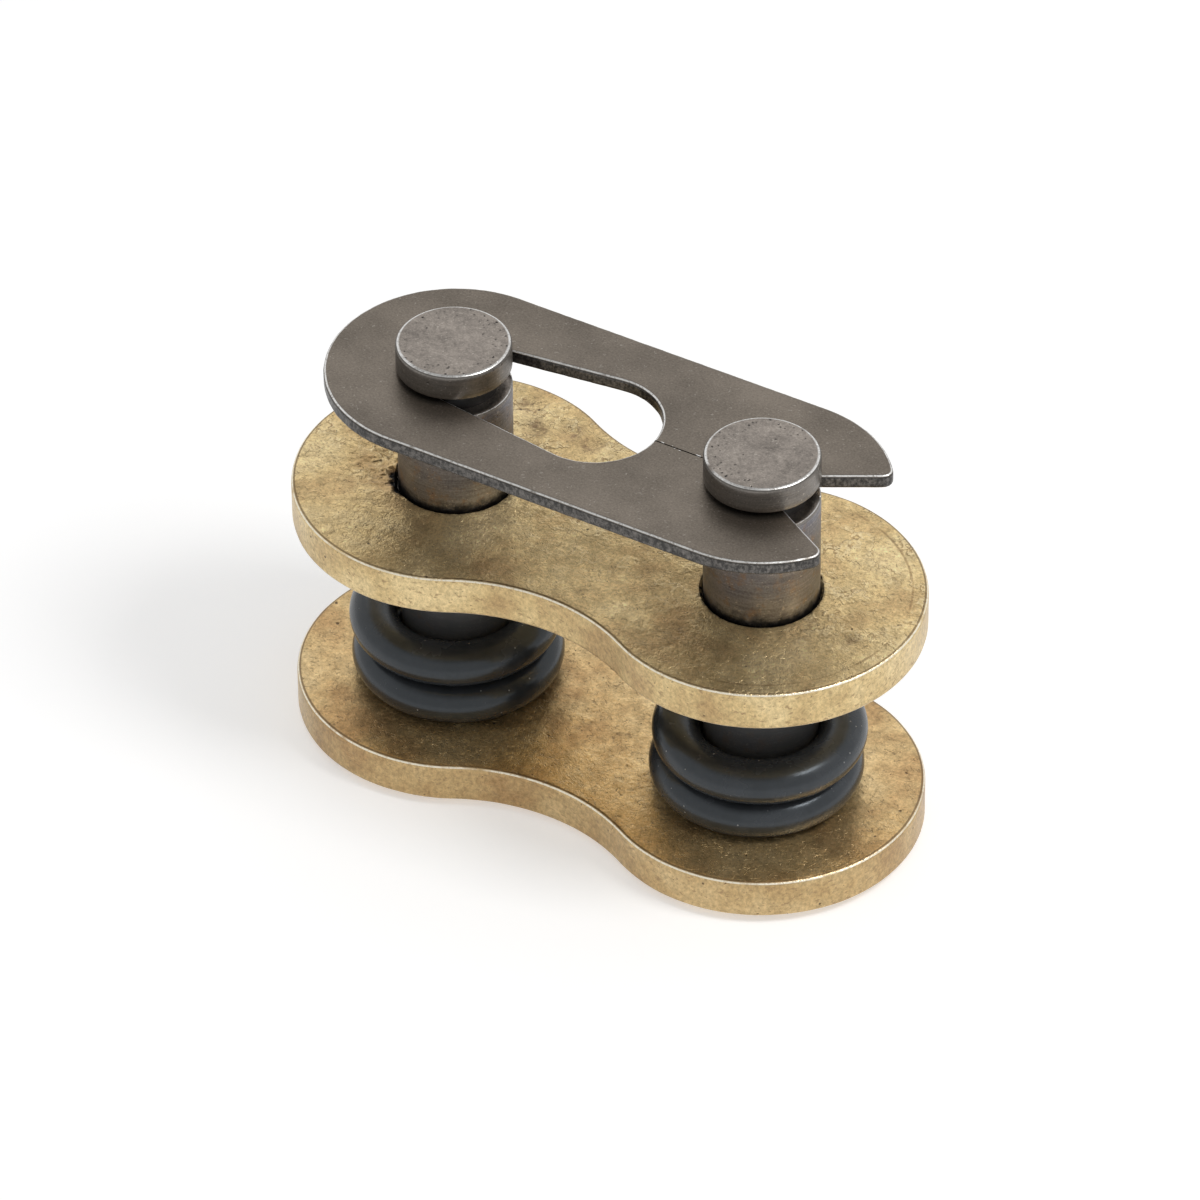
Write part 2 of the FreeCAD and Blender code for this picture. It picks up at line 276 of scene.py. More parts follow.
    def weather(self, depth: float, span: float, seed: float, flats: bool = True) -> None:
        """Sink the surface unevenly, as tumbling and handling do.

        Args:
            depth: The deepest that a point sinks along its normal.
            span: The width of the broadest dents.
            seed: A shift that gives each piece dents of its own.
            flats: Whether the level faces are dented too, and not only edges and walls.
        """
        self.mesh.normal_update()
        shift = Vector((seed, -seed, seed / 2))
        sunk = []
        for vertex in self.mesh.verts:
            if flats or abs(vertex.normal.z) < LEVEL:
                level = noise.fractal(vertex.co / span + shift, 1.0, 2.0, 3)
                sunk.append((vertex, vertex.normal * depth * min(max(0.5 + level / 2, 0.0), 1.0)))
        for vertex, sink in sunk:
            vertex.co -= sink

    def press(
        self, place: Vector, reach: float, depth: float, hollow_shade_and_grime: float = 0.0, ragged: float = 0.6
    ) -> None:
        """Press a ragged hollow down into the surface, or raise a burr.

        Args:
            place: The middle of the hollow.
            reach: How far the hollow spreads, which is twice as far downwards.
            depth: How far its middle sinks, below zero for a burr.
            hollow_shade_and_grime: How dark the hollow's middle is painted: painted shade in a
                dent, painted shade and dirt in a chip. It is recorded as wear below zero.
            ragged: How uneven the hollow is.
        """
        for vertex in self.mesh.verts:
            offset = vertex.co - place
            offset.z /= 2
            near = 1 - offset.length / reach
            if near > 0:
                uneven = 1 + ragged * noise.noise(Vector((vertex.co.x, vertex.co.y, 0)) * 3)
                sink = uneven * near * near * (3 - 2 * near)
                vertex.co -= UP * depth * sink
                if hollow_shade_and_grime:
                    vertex[self.wear] = min(vertex[self.wear], -hollow_shade_and_grime * sink)

    def crumple(self, place: Vector, reach: float, depth: float, span: float) -> None:
        """Sink the level surface round a place and leave ragged ridges standing.

        Args:
            place: The middle of the crumpled patch.
            reach: How far the patch spreads.
            depth: How far the surface sinks between the ridges.
            span: The distance between ridges, roughly.
        """
        self.mesh.normal_update()
        flat = [vertex for vertex in self.mesh.verts if vertex.normal.z > LEVEL]
        for vertex in flat:
            near = 1 - (vertex.co - place).length / reach
            if near > 0:
                valley = min(abs(noise.fractal(vertex.co / span, 1.0, 2.0, 2)) * 3, 1.0)
                vertex.co -= UP * depth * valley * min(near * 2, 1.0)

    def move(self, shift: Vector) -> None:
        """Carry the whole mesh to its place."""
        bmesh.ops.translate(self.mesh, verts=self.mesh.verts[:], vec=shift)

    def take_off(self, name: str) -> Object:
        """Turn the finished mesh into an object of the scene, in metres.

        Args:
            name: The object's name.

        Returns:
            The object, at the origin, with its place in its mesh.
        """
        bmesh.ops.scale(self.mesh, vec=Vector((MM, MM, MM)), verts=self.mesh.verts[:])
        data = data_of(self.mesh, name)
        data.shade_smooth()
        data.set_sharp_from_angle(angle=SMOOTH_TURN)
        return show(name, data)


def data_of(mesh: bmesh.types.BMesh, name: str) -> Mesh:
    """Hand a finished mesh over to the scene's data.

    Args:
        mesh: The mesh, which is freed.
        name: The data's name.

    Returns:
        The mesh data.
    """
    data = bpy.data.meshes.new(name)
    mesh.to_mesh(data)
    mesh.free()
    return data


def show(name: str, data: ID) -> Object:
    """Add an object to the scene.

    Args:
        name: The object's name.
        data: Its mesh, lamp or camera.

    Returns:
        The object, at the origin.
    """
    shown = bpy.data.objects.new(name, data)
    bpy.context.scene.collection.objects.link(shown)
    return shown


def height_of(edge: BMEdge) -> float:
    """How far an edge rises from one end to the other."""
    return abs(edge.verts[0].co.z - edge.verts[1].co.z)


def middle_of(edge: BMEdge) -> Vector:
    """The point half-way along an edge."""
    return (edge.verts[0].co + edge.verts[1].co) / 2


def is_sharp(edge: BMEdge) -> bool:
    """Whether the surface turns sharply over an edge."""
    return edge.is_manifold and edge.calc_face_angle() > SHARP_TURN


def polar(centre: Vector, radius: float, angle: float) -> Vector:
    """The point at an angle and a distance from a centre, at the centre's height."""
    return centre + Vector((radius * math.cos(angle), radius * math.sin(angle), 0))


def bearing(centre: Vector, place: Vector) -> float:
    """The angle at which a place is seen from a centre, in radians."""
    return math.atan2(place.y - centre.y, place.x - centre.x)


class Piece(ABC):
    """One piece of the link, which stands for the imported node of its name."""

    node: str
    body: Body
    slot: Slot

    @abstractmethod
    def shape(self) -> Workpiece:
        """Work the piece's mesh, in place and in millimetres.

        Returns:
            The workpiece.
        """

    def install(self, finish: Material) -> Object:
        """Shape the piece, dress it and set it on its body in place of its node.

        Args:
            finish: The material to dress it with.

        Returns:
            The finished object.
        """
        piece = self.shape().take_off(f"{self.node}_finished")
        piece.data.materials.append(finish)
        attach(piece, self.body.value)
        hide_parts(self.node)
        log.info("%s: %d faces, rides on %s", piece.name, len(piece.data.polygons), self.body.value)
        return piece


@dataclass
class LinkPlate(Piece):
    """A waisted link plate, blanked from strip and tumbled, with two pin bores."""

    node: str
    body: Body
    bore_clearance: float = 0.0
    bore_chamfer: float = 0.0
    chipped: bool = False
    seed: float = 0.0
    slot: Slot = Slot.PLATING
    waist_depth: float = 2.01
    edge_round: float = 0.2
    end_steps: int = 100
    waist_steps: int = 16
    middle_steps: int = 36
    rows: int = 16
    wall_rows: int = 7
    dent_depth: float = 0.02
    dent_span: float = 2.2

    def shape(self) -> Workpiece:
        """Work the plate from half an outline and one bore.

        Returns:
            The workpiece.
        """
        box = Extent.of_node(self.node)
        pin = Extent.of_node("pin_b")
        end_radius = box.size.y / 2
        half_pitch = pin.centre.x
        bore = pin.size.y / 2 + self.bore_clearance
        work = Workpiece()
        self.draw_half(work, half_pitch, end_radius, bore)
        work.fill_between(self.rows)
        work.mirror("X")
        work.raise_sheet(box.size.z, self.wall_rows)

        def is_bore_rim(edge: BMEdge) -> bool:
            """Whether an edge lies on the rim of a bore.

            Args:
                edge: The edge of the plate's mesh that is looked at.

            Returns:
                True for an edge that runs along the rim of either bore.
            """
            middle = middle_of(edge).xy
            pin_axis = Vector((math.copysign(half_pitch, middle.x), 0))
            near_bore = (middle - pin_axis).length < (bore + end_radius) / 2
            return height_of(edge) < SAME_PLACE and near_bore

        def is_outer_rim(edge: BMEdge) -> bool:
            """Whether an edge lies on the plate's outer rim."""
            return height_of(edge) < SAME_PLACE and not is_bore_rim(edge)

        if self.bore_chamfer:
            work.round_edges(is_bore_rim, self.bore_chamfer, segments=1, wear=0.0)
        work.round_edges(is_outer_rim, self.edge_round, segments=4, wear=1.0)
        work.weather(self.dent_depth, self.dent_span, self.seed)
        if self.chipped:
            self.chip(work, Vector((-half_pitch, 0, box.size.z)), bore)
            self.dent(work, box.size.z)
        work.move(UP * box.low.z)
        return work

    def chip(self, work: Workpiece, pin: Vector, bore: float) -> None:
        """Chip the bore's rim and crumple the metal round the chip.

        Args:
            work: The workpiece to chip.
            pin: Where the pin's axis meets the top face.
            bore: The bore's radius.
        """
        crumpled = polar(pin, bore + 1.0, math.radians(-168))
        work.refine(polar(pin, bore + 1.0, math.radians(-165)), reach=2.3, cuts=1)
        work.refine(polar(pin, bore + 0.1, math.radians(-138)), reach=1.2, cuts=1)
        work.crumple(crumpled, reach=2.2, depth=0.07, span=0.55)
        for turn, out, reach, depth in (
            (-152, 0.02, 0.56, 0.15),
            (-146, -0.1, 0.5, 0.14),
            (-140, 0.0, 0.56, 0.15),
            (-134, -0.1, 0.46, 0.13),
            (-128, 0.0, 0.52, 0.13),
            (-121, -0.06, 0.32, 0.1),
        ):
            hollow = polar(pin, bore + out, math.radians(turn))
            # The chip's hollows are painted dark, as shade and dirt.
            work.press(hollow, reach, depth, hollow_shade_and_grime=1.6)
        for turn, out, reach, depth in (
            (-158, 0.5, 0.3, -0.03),
            (-148, 0.75, 0.3, -0.03),
            (-128, 0.62, 0.26, -0.03),
            (-164, 1.0, 0.4, 0.06),
            (-175, 0.7, 0.4, 0.05),
        ):
            work.press(polar(pin, bore + out, math.radians(turn)), reach, depth)

    def dent(self, work: Workpiece, top: float) -> None:
        """Knock a few soft dents into the top face, beside the waist.

        Args:
            work: The workpiece to dent.
            top: The top face's height.
        """
        work.crumple(Vector((-6.2, 5.2, top)), reach=1.9, depth=0.06, span=0.8)
        for along, across, reach, depth in (
            (-6.6, 4.8, 0.95, 0.09),
            (-7.6, 6.0, 1.0, 0.06),
            (-5.1, 5.4, 0.9, 0.07),
            (-3.8, 4.9, 0.9, 0.08),
        ):
            # These dents are painted darker towards their middles, as shade.
            work.press(Vector((along, across, top)), reach, depth, hollow_shade_and_grime=0.34, ragged=1.8)
        # These dents are painted a little darker towards their middles, as shade.
        for along, across, reach, depth in (
            (11.6, 4.6, 0.7, 0.05),
            (12.9, 3.1, 0.6, 0.04),
            (13.2, -1.2, 0.9, 0.05),
            (-12.6, 2.4, 0.8, 0.05),
        ):
            work.press(Vector((along, across, top)), reach, depth, hollow_shade_and_grime=0.12, ragged=1.8)

    def draw_half(
        self, work: Workpiece, half_pitch: float, end_radius: float, bore: float
    ) -> None:
        """Draw the half outline round pin B and the bore inside it.

        Args:
            work: The workpiece to draw on.
            half_pitch: How far the pin stands from the plate's middle.
            end_radius: The radius of the plate's end.
            bore: The bore's radius.
        """
        waist = end_radius - self.waist_depth
        waist_radius = (half_pitch ** 2 + waist ** 2 - end_radius ** 2) / (2 * self.waist_depth)
        rise = waist + waist_radius
        lean = math.atan2(rise, half_pitch)
        waist_turn = math.pi / 2 - lean
        pin = Vector((half_pitch, 0, 0))
        end = work.start(Vector((0, -waist, 0)))
        end = work.arc(end, Vector((0, -rise, 0)), -waist_turn, self.waist_steps)
        end = work.arc(end, pin, 2 * (math.pi - lean), self.end_steps)
        end = work.arc(end, Vector((0, rise, 0)), -waist_turn, self.waist_steps)
        work.line(end, Vector((0, -waist, 0)), self.middle_steps)
        bmesh.ops.remove_doubles(work.mesh, verts=work.mesh.verts[:], dist=SAME_PLACE)
        bmesh.ops.create_circle(
            work.mesh,
            radius=bore,
            segments=len(work.mesh.edges),
            matrix=Matrix.Translation(pin),
        )


@dataclass
class ConnectingPin(Piece):
    """A turned and ground pin with a clip groove that leaves a head on its top."""

    node: str
    seed: float = 0.0
    body: Body = Body.PINNED
    slot: Slot = Slot.PIN
    neck_radius: float = 2.0
    head_thickness: float = 1.28
    groove_width: float = 1.04
    head_round: float = 0.2
    tail_chamfer: float = 0.25
    shoulder_chamfer: float = 0.1
    head_underside_round: float = 0.04
    round_steps: int = 144

    def shape(self) -> Workpiece:
        """Work the pin by turning its outline.

        Returns:
            The workpiece.
        """
        box = Extent.of_node(self.node)
        radius = box.size.y / 2
        top = box.size.z
        underside = top - self.head_thickness
        shoulder = underside - self.groove_width
        work = Workpiece()
        end = work.start(ORIGIN)
        for reach, level, steps in (
            (radius, 0, 6),
            (radius, shoulder, 30),
            (self.neck_radius, shoulder, 2),
            (self.neck_radius, underside, 3),
            (radius, underside, 2),
            (radius, top, 4),
            (0, top, 10),
        ):
            end = work.line(end, Vector((reach, 0, level)), steps)
        work.turn_full(self.round_steps)

        def rim_at(level: float) -> Callable[[BMEdge], bool]:
            """Make the test for the rim at a level."""

            def is_rim(edge: BMEdge) -> bool:
                """Whether an edge lies on that rim."""
                middle = middle_of(edge)
                return abs(middle.z - level) < SAME_PLACE and middle.xy.length > radius * NEARLY

            return is_rim

        work.round_edges(rim_at(0), self.tail_chamfer, segments=1, wear=0.0)
        work.round_edges(rim_at(shoulder), self.shoulder_chamfer, segments=2, wear=0.6)
        work.round_edges(rim_at(underside), self.head_underside_round, segments=2, wear=0.7)
        work.round_edges(rim_at(top), self.head_round, segments=5, wear=1.0)
        work.weather(depth=0.006, span=0.9, seed=self.seed)
        work.move(Vector((box.centre.x, box.centre.y, box.low.z)))
        return work


@dataclass
class SealingRing(Piece):
    """A moulded rubber sealing ring of round section."""

    node: str
    seed: float = 0.0
    body: Body = Body.PINNED
    slot: Slot = Slot.RUBBER
    section_steps: int = 40
    round_steps: int = 160
    play: float = 0.03

    def shape(self) -> Workpiece:
        """Work the ring by turning its section.

        Returns:
            The workpiece.
        """
        box = Extent.of_node(self.node)
        section_radius = box.size.z / 2
        mean_radius = box.size.x / 2 - section_radius
        work = Workpiece()
        upright = Matrix.Translation((mean_radius, 0, 0)) @ Matrix.Rotation(math.pi / 2, 4, "X")
        bmesh.ops.create_circle(
            work.mesh, radius=section_radius, segments=self.section_steps, matrix=upright
        )
        inner = [vertex for vertex in work.mesh.verts if vertex.co.x < mean_radius]
        bmesh.ops.scale(
            work.mesh,
            vec=Vector(((mean_radius - self.shaft_radius) / section_radius, 1, 1)),
            space=Matrix.Translation((-mean_radius, 0, 0)),
            verts=inner,
        )
        work.turn_full(self.round_steps)
        work.weather(depth=0.03, span=3.0, seed=self.seed)
        work.move(box.centre)
        self.press_on_shaft(work, box.centre)
        return work

    @property
    def shaft_radius(self) -> float:
        """The radius that the ring's inner side keeps from its pin's axis."""
        return Extent.of_node("pin_a").size.y / 2 + self.play

    def press_on_shaft(self, work: Workpiece, centre: Vector) -> None:
        """Flatten the inner side against the shaft, which the ring isn't quite centred on.

        Args:
            work: The workpiece, in its place.
            centre: The ring's centre.
        """
        half_pitch = Extent.of_node("pin_b").centre.x
        axis = Vector((math.copysign(half_pitch, centre.x), 0))
        reach = self.shaft_radius
        for vertex in work.mesh.verts:
            offset = vertex.co.xy - axis
            if offset.length < reach:
                vertex.co.xy = axis + offset.normalized() * reach


@dataclass
class SpringClip(Piece):
    """The spring clip: one blanked strip with a keyhole window, a slit and two prongs."""

    node: str = "spring_clip"
    body: Body = Body.PINNED
    slot: Slot = Slot.CLIP
    seat_radius: float = 2.05
    window_radius: float = 3.0
    slit_length: float = 3.5
    slit_width: float = 0.05
    mouth_half_angle: float = math.radians(30)
    tip_half_width: float = 3.1
    tip_round: float = 0.5
    throat_round: float = 0.3
    edge_round: float = 0.14
    flat_lining: float = 0.04
    wall_rows: int = 4
    closed_end_steps: int = 50
    flank_steps: int = 90
    prong_steps: int = 32
    round_steps: int = 5
    mouth_steps: int = 14
    seat_b_steps: int = 34
    slit_steps: int = 16
    window_steps: int = 34
    taper_steps: int = 36
    seat_a_steps: int = 22
    seed: float = 3.7

    def shape(self) -> Workpiece:
        """Work the clip from one leg's outline.

        Returns:
            The workpiece.
        """
        box = Extent.of_node(self.node)
        work = Workpiece()
        self.draw_inside(work, self.draw_outside(work))
        work.mirror("Y")
        work.fill_inside()
        work.raise_sheet(box.size.z, self.wall_rows)
        slit_y = self.slit_width / 2

        def is_slit_rim(edge: BMEdge) -> bool:
            """Whether an edge lies along the slit."""
            return all(abs(abs(vertex.co.y) - slit_y) < SAME_PLACE for vertex in edge.verts)

        def is_rim(edge: BMEdge) -> bool:
            """Whether an edge lies on any other rim of the clip."""
            return height_of(edge) < SAME_PLACE and not is_slit_rim(edge)

        work.round_edges(is_rim, self.edge_round, segments=3, wear=1.0)
        work.weather(depth=0.02, span=0.5, seed=self.seed, flats=False)
        work.line_flats(self.flat_lining)
        work.move(UP * box.low.z)
        return work

    @property
    def pin_a(self) -> Vector:
        """Pin A's axis."""
        return Vector((Extent.of_node("pin_a").centre.x, 0, 0))

    @property
    def pin_b(self) -> Vector:
        """Pin B's axis."""
        return Vector((Extent.of_node("pin_b").centre.x, 0, 0))

    @property
    def end_radius(self) -> float:
        """The radius of the clip's two ends."""
        return Extent.of_node(self.node).size.y / 2

    @property
    def mouth(self) -> Vector:
        """The direction of the mouth's side, from throat to tip."""
        return polar(ORIGIN, 1, self.mouth_half_angle)

    @property
    def tip(self) -> Vector:
        """The prong's tip before it is rounded."""
        reach = math.sqrt(self.end_radius ** 2 - self.tip_half_width ** 2)
        return self.pin_b + Vector((reach, self.tip_half_width, 0))

    def corner_centre(self, from_pin: float, size: float) -> Vector:
        """Find the centre of a rounding between the mouth's side and a circle round pin B.

        Args:
            from_pin: How far the rounding's centre lies from the pin's axis.
            size: The rounding's radius.

        Returns:
            The rounding's centre.
        """
        across = polar(ORIGIN, 1, self.mouth_half_angle + math.pi / 2)
        on_side = self.tip + across * size - self.pin_b
        along = on_side.dot(self.mouth)
        reach = -along + math.sqrt(along ** 2 - on_side.length_squared + from_pin ** 2)
        return self.pin_b + on_side + self.mouth * reach

    def draw_outside(self, work: Workpiece) -> BMVert:
        """Draw the leg's outer side: the closed end, the flank, the prong and its tip.

        Args:
            work: The workpiece to draw on.

        Returns:
            The outline's last point, at the mouth's outer end.
        """
        tip = self.corner_centre(self.end_radius - self.tip_round, self.tip_round)
        tip_bearing = bearing(self.pin_b, tip)
        tip_turn = -(tip_bearing + math.pi / 2 - self.mouth_half_angle)
        end = work.start(polar(self.pin_a, self.end_radius, math.pi))
        end = work.arc(end, self.pin_a, -math.pi / 2, self.closed_end_steps)
        flank_end = polar(self.pin_b, self.end_radius, math.pi / 2)
        end = work.line(end, flank_end, self.flank_steps)
        end = work.arc(end, self.pin_b, tip_bearing - math.pi / 2, self.prong_steps)
        return work.arc(end, tip, tip_turn, self.round_steps)

    def draw_inside(self, work: Workpiece, end: BMVert) -> None:
        """Draw the leg's inner side: the throat, seat B, the slit, the window and seat A.

        Args:
            work: The workpiece to draw on.
            end: The point at the mouth's outer end, to draw on from.
        """
        slit = self.slit_width / 2
        seat = self.seat_radius
        window = self.window_radius
        seat_end = self.pin_b + Vector((-math.sqrt(seat ** 2 - slit ** 2), slit, 0))
        window_end = seat_end - Vector((self.slit_length, 0, 0))
        window_centre = Vector((window_end.x - math.sqrt(window ** 2 - slit ** 2), 0, 0))
        taper = math.asin((window - seat) / (window_centre.x - self.pin_a.x))
        upright = math.pi / 2 + taper
        throat = self.corner_centre(seat + self.throat_round, self.throat_round)
        throat_bearing = bearing(self.pin_b, throat)
        throat_turn = throat_bearing - self.mouth_half_angle - math.pi / 2
        throat_start = polar(throat, self.throat_round, self.mouth_half_angle - math.pi / 2)
        seat_turn = bearing(self.pin_b, seat_end) - throat_bearing
        window_turn = upright - bearing(window_centre, window_end)
        end = work.line(end, throat_start, self.mouth_steps)
        end = work.arc(end, throat, throat_turn, self.round_steps)
        end = work.arc(end, self.pin_b, seat_turn, self.seat_b_steps)
        end = work.line(end, window_end, self.slit_steps)
        end = work.arc(end, window_centre, window_turn, self.window_steps)
        end = work.line(end, polar(self.pin_a, seat, upright), self.taper_steps)
        work.arc(end, self.pin_a, math.pi - upright, self.seat_a_steps)


class Wiring:
    """A node tree while its nodes are laid out and linked."""

    def __init__(self, tree: NodeTree) -> None:
        """Start work on a tree."""
        self.tree = tree

    @classmethod
    def cleared(cls, owner: Material | World) -> "Wiring":
        """Start work on the emptied tree of a material or a world.

        Args:
            owner: The material or the world.

        Returns:
            The wiring of its tree.
        """
        owner.use_nodes = True
        owner.node_tree.nodes.clear()
        return cls(owner.node_tree)

    def node(self, kind: str, inputs: Inputs | None = None, **settings: object) -> Node:
        """Add a node.

        Args:
            kind: The node's type.
            inputs: What feeds its inputs, by their names or numbers.
            settings: The node's own settings.

        Returns:
            The new node.
        """
        made = self.tree.nodes.new(kind)
        for name, value in settings.items():
            setattr(made, name, value)
        for place, value in (inputs or {}).items():
            self.feed(made.inputs[place], value)
        return made

    def feed(self, socket: NodeSocket, value: Wired) -> None:
        """Link an output to a socket, or set the socket to a value.

        Args:
            socket: The input to feed.
            value: The output or the value, where a colour comes without its alpha.
        """
        if isinstance(value, NodeSocket):
            self.tree.links.new(value, socket)
        elif isinstance(value, tuple) and socket.type == "RGBA":
            socket.default_value = (*value, 1)
        else:
            socket.default_value = value

    def split(self, vector: NodeSocket) -> tuple[NodeSocket, NodeSocket, NodeSocket]:
        """Take a vector's three parts."""
        return tuple(self.node("ShaderNodeSeparateXYZ", {0: vector}).outputs[:3])

    def sum(self, operation: str, *values: Wired) -> NodeSocket:
        """Work out a sum on values."""
        return self.node("ShaderNodeMath", dict(enumerate(values)), operation=operation).outputs[0]

    def times(self, first: Wired, *others: Wired) -> Wired:
        """Multiply values, from the first to the last.

        Args:
            first: The first value.
            others: What it is multiplied by.

        Returns:
            The product, or the first value where it stands alone.
        """
        for other in others:
            first = self.sum("MULTIPLY", first, other)
        return first

    def between(
        self, value: NodeSocket, low: float, high: float, out_low: float = 0, out_high: float = 1
    ) -> NodeSocket:
        """Bring a value from one range to another and hold it there.

        Args:
            value: The value.
            low: Where its range starts, which may be the higher end.
            high: Where its range ends.
            out_low: What the start becomes.
            out_high: What the end becomes.

        Returns:
            The new value.
        """
        inputs = dict(enumerate((value, low, high, out_low, out_high)))
        return self.node("ShaderNodeMapRange", inputs).outputs[0]

    def seen(self, strength: float) -> NodeSocket:
        """Give a strength to camera, glossy and transmission rays, and nothing to others.

        Args:
            strength: The strength.

        Returns:
            The strength for the ray at hand.
        """
        rays = self.node("ShaderNodeLightPath").outputs
        seen = self.sum("MAXIMUM", rays["Is Camera Ray"], rays["Is Glossy Ray"])
        return self.times(self.sum("MAXIMUM", seen, rays["Is Transmission Ray"]), strength)


class FinishBench(Wiring):
    """A material's nodes while its finish is laid out. Its patterns are sized in millimetres."""

    def __init__(self, name: str) -> None:
        """Start a material whose patterns follow the object.

        Args:
            name: The material's name.
        """
        self.material = bpy.data.materials.new(name)
        self.material.use_nodes = True
        super().__init__(self.material.node_tree)
        self.shader = self.tree.nodes["Principled BSDF"]
        coordinates = self.node("ShaderNodeTexCoord")
        self.place = self.stretched(coordinates.outputs["Object"], (MM, MM, MM))
        normal = self.split(self.node("ShaderNodeNewGeometry").outputs["Normal"])
        self.levelness = self.sum("ABSOLUTE", normal[2])
        self.along, self.across, self.height = self.split(self.place)

    def from_pin(self) -> NodeSocket:
        """Measure how far a place lies from the nearer pin's axis.

        Returns:
            The distance in millimetres.
        """
        half_pitch = Extent.of_node("pin_b").centre.x
        off = self.sum("SUBTRACT", self.sum("ABSOLUTE", self.along), half_pitch)
        squares = (self.times(part, part) for part in (off, self.across))
        return self.sum("SQRT", self.sum("ADD", *squares))

    def bent(self, amount: float, span: float) -> NodeSocket:
        """Bend the piece's own coordinates, so that a pattern loses its regular look.

        Args:
            amount: How far a place moves at most.
            span: The width of the bends.

        Returns:
            The bent coordinates.
        """
        texture = self.node("ShaderNodeTexNoise", {"Vector": self.place, "Scale": 1 / span})
        centred = self.node(
            "ShaderNodeVectorMath",
            {0: texture.outputs["Color"], 1: (0.5, 0.5, 0.5)},
            operation="SUBTRACT",
        )
        moved = self.node(
            "ShaderNodeVectorMath",
            {0: centred.outputs[0], 1: (2 * amount, 2 * amount, 2 * amount), 2: self.place},
            operation="MULTIPLY_ADD",
        )
        return moved.outputs[0]

    def stretched(
        self, vector: NodeSocket, span: Triple, turn: Triple = (0, 0, 0)
    ) -> NodeSocket:
        """Turn a pattern's space and give its features a length along each turned axis.

        Args:
            vector: The coordinates to work on.
            span: The features' length along each axis.
            turn: The turn about each axis, in degrees.

        Returns:
            The new coordinates.
        """
        angles = tuple(math.radians(angle) for angle in turn)
        inputs = {"Vector": vector, "Scale": span, "Rotation": angles}
        return self.node("ShaderNodeMapping", inputs, vector_type="TEXTURE").outputs["Vector"]

    def cloud(
        self, span: float, detail: float = 3.0, rough: float = 0.5, vector: NodeSocket | None = None
    ) -> NodeSocket:
        """Make cloudy noise.

        Args:
            span: The width of its broadest clouds.
            detail: How many finer layers it has.
            rough: How strong the finer layers are.
            vector: The coordinates, if they aren't the piece's own.

        Returns:
            A value about 0.5.
        """
        space = self.place if vector is None else vector
        inputs = {"Vector": space, "Scale": 1 / span, "Detail": detail, "Roughness": rough}
        return self.node("ShaderNodeTexNoise", inputs).outputs["Fac"]

    def off_middle(self, field: NodeSocket) -> NodeSocket:
        """Measure how far a noise lies from its middle value."""
        return self.sum("ABSOLUTE", self.sum("SUBTRACT", field, 0.5))

    def ridges(self, span: float, vector: NodeSocket) -> NodeSocket:
        """Make crumpled relief with sharp ridges.

        Args:
            span: The width of its broadest folds.
            vector: The coordinates.

        Returns:
            1 on a ridge and less beside it.
        """
        field = self.cloud(span, 4.0, 0.7, vector)
        return self.between(self.off_middle(field), 0.0, 0.2, 1.0, 0.0)

    def dots(self, spacing: float, radius: float, share: float, ragged: float) -> NodeSocket:
        """Make scattered dots.

        Args:
            spacing: The distance between the places where a dot may be.
            radius: A dot's radius in millimetres.
            share: The share of places that have a dot, roughly.
            ragged: How far a dot's outline strays from round.

        Returns:
            1 in a dot and 0 outside.
        """
        vector = self.bent(ragged, radius * 2) if ragged else self.place
        texture = self.node("ShaderNodeTexVoronoi", {"Vector": vector, "Scale": 1 / spacing})
        size = radius / spacing
        spot = self.between(texture.outputs["Distance"], size, size * 0.5)
        parts = self.node("ShaderNodeSeparateColor", {0: texture.outputs["Color"]})
        return self.times(spot, self.sum("LESS_THAN", parts.outputs["Red"], share))

    def scratches(
        self, length: float, width: float, turn: float, fine: float, share: float
    ) -> NodeSocket:
        """Make thin broken strokes that run one way.

        Args:
            length: How far a stroke wanders before it bends.
            width: The distance between strokes.
            turn: The strokes' direction in degrees.
            fine: A stroke's thickness as a share of that distance.
            share: The share of the surface that has strokes, roughly.

        Returns:
            1 on a stroke and 0 outside.
        """
        space = self.stretched(self.place, (length, width, width), (0, 0, turn))
        stroke = self.between(self.off_middle(self.cloud(1.0, 2.0, 0.5, space)), fine, 0.0)
        edge = NOISE_TOP - NOISE_SPREAD * share
        patches = self.between(self.cloud(length * 0.4, 1.0, 0.5), edge, edge + 0.05)
        return self.times(stroke, patches)

    def mix(self, share: Wired, first: Wired, second: Wired, blend: str = "MIX") -> NodeSocket:
        """Mix two colours.

        Args:
            share: The second colour's share.
            first: The first colour.
            second: The second colour.
            blend: How they are blended.

        Returns:
            The mixed colour.
        """
        inputs = {0: share, 6: first, 7: second}
        return self.node("ShaderNodeMix", inputs, data_type="RGBA", blend_type=blend).outputs[2]

    def coat(self, colour: Wired, *coats: tuple[Wired, ...]) -> Wired:
        """Lay coats over a colour, one after another.

        Args:
            colour: The colour underneath.
            coats: Each coat's colour, then what multiplies to how thickly it lies.

        Returns:
            The colour on top.
        """
        for coating, *shares in coats:
            colour = self.mix(self.times(*shares), colour, coating)
        return colour

    def ramp(self, value: NodeSocket, *stops: tuple[float, Colour]) -> NodeSocket:
        """Colour a value by stops along a ramp.

        Args:
            value: The value.
            stops: Pairs of a value and its colour.

        Returns:
            The colour.
        """
        node = self.node("ShaderNodeValToRGB", {0: value})
        elements = node.color_ramp.elements
        while len(elements) < len(stops):
            elements.new(0.5)
        for element, (place, colour) in zip(elements, stops):
            element.position = place
            element.color = (*colour, 1)
        return node.outputs["Color"]

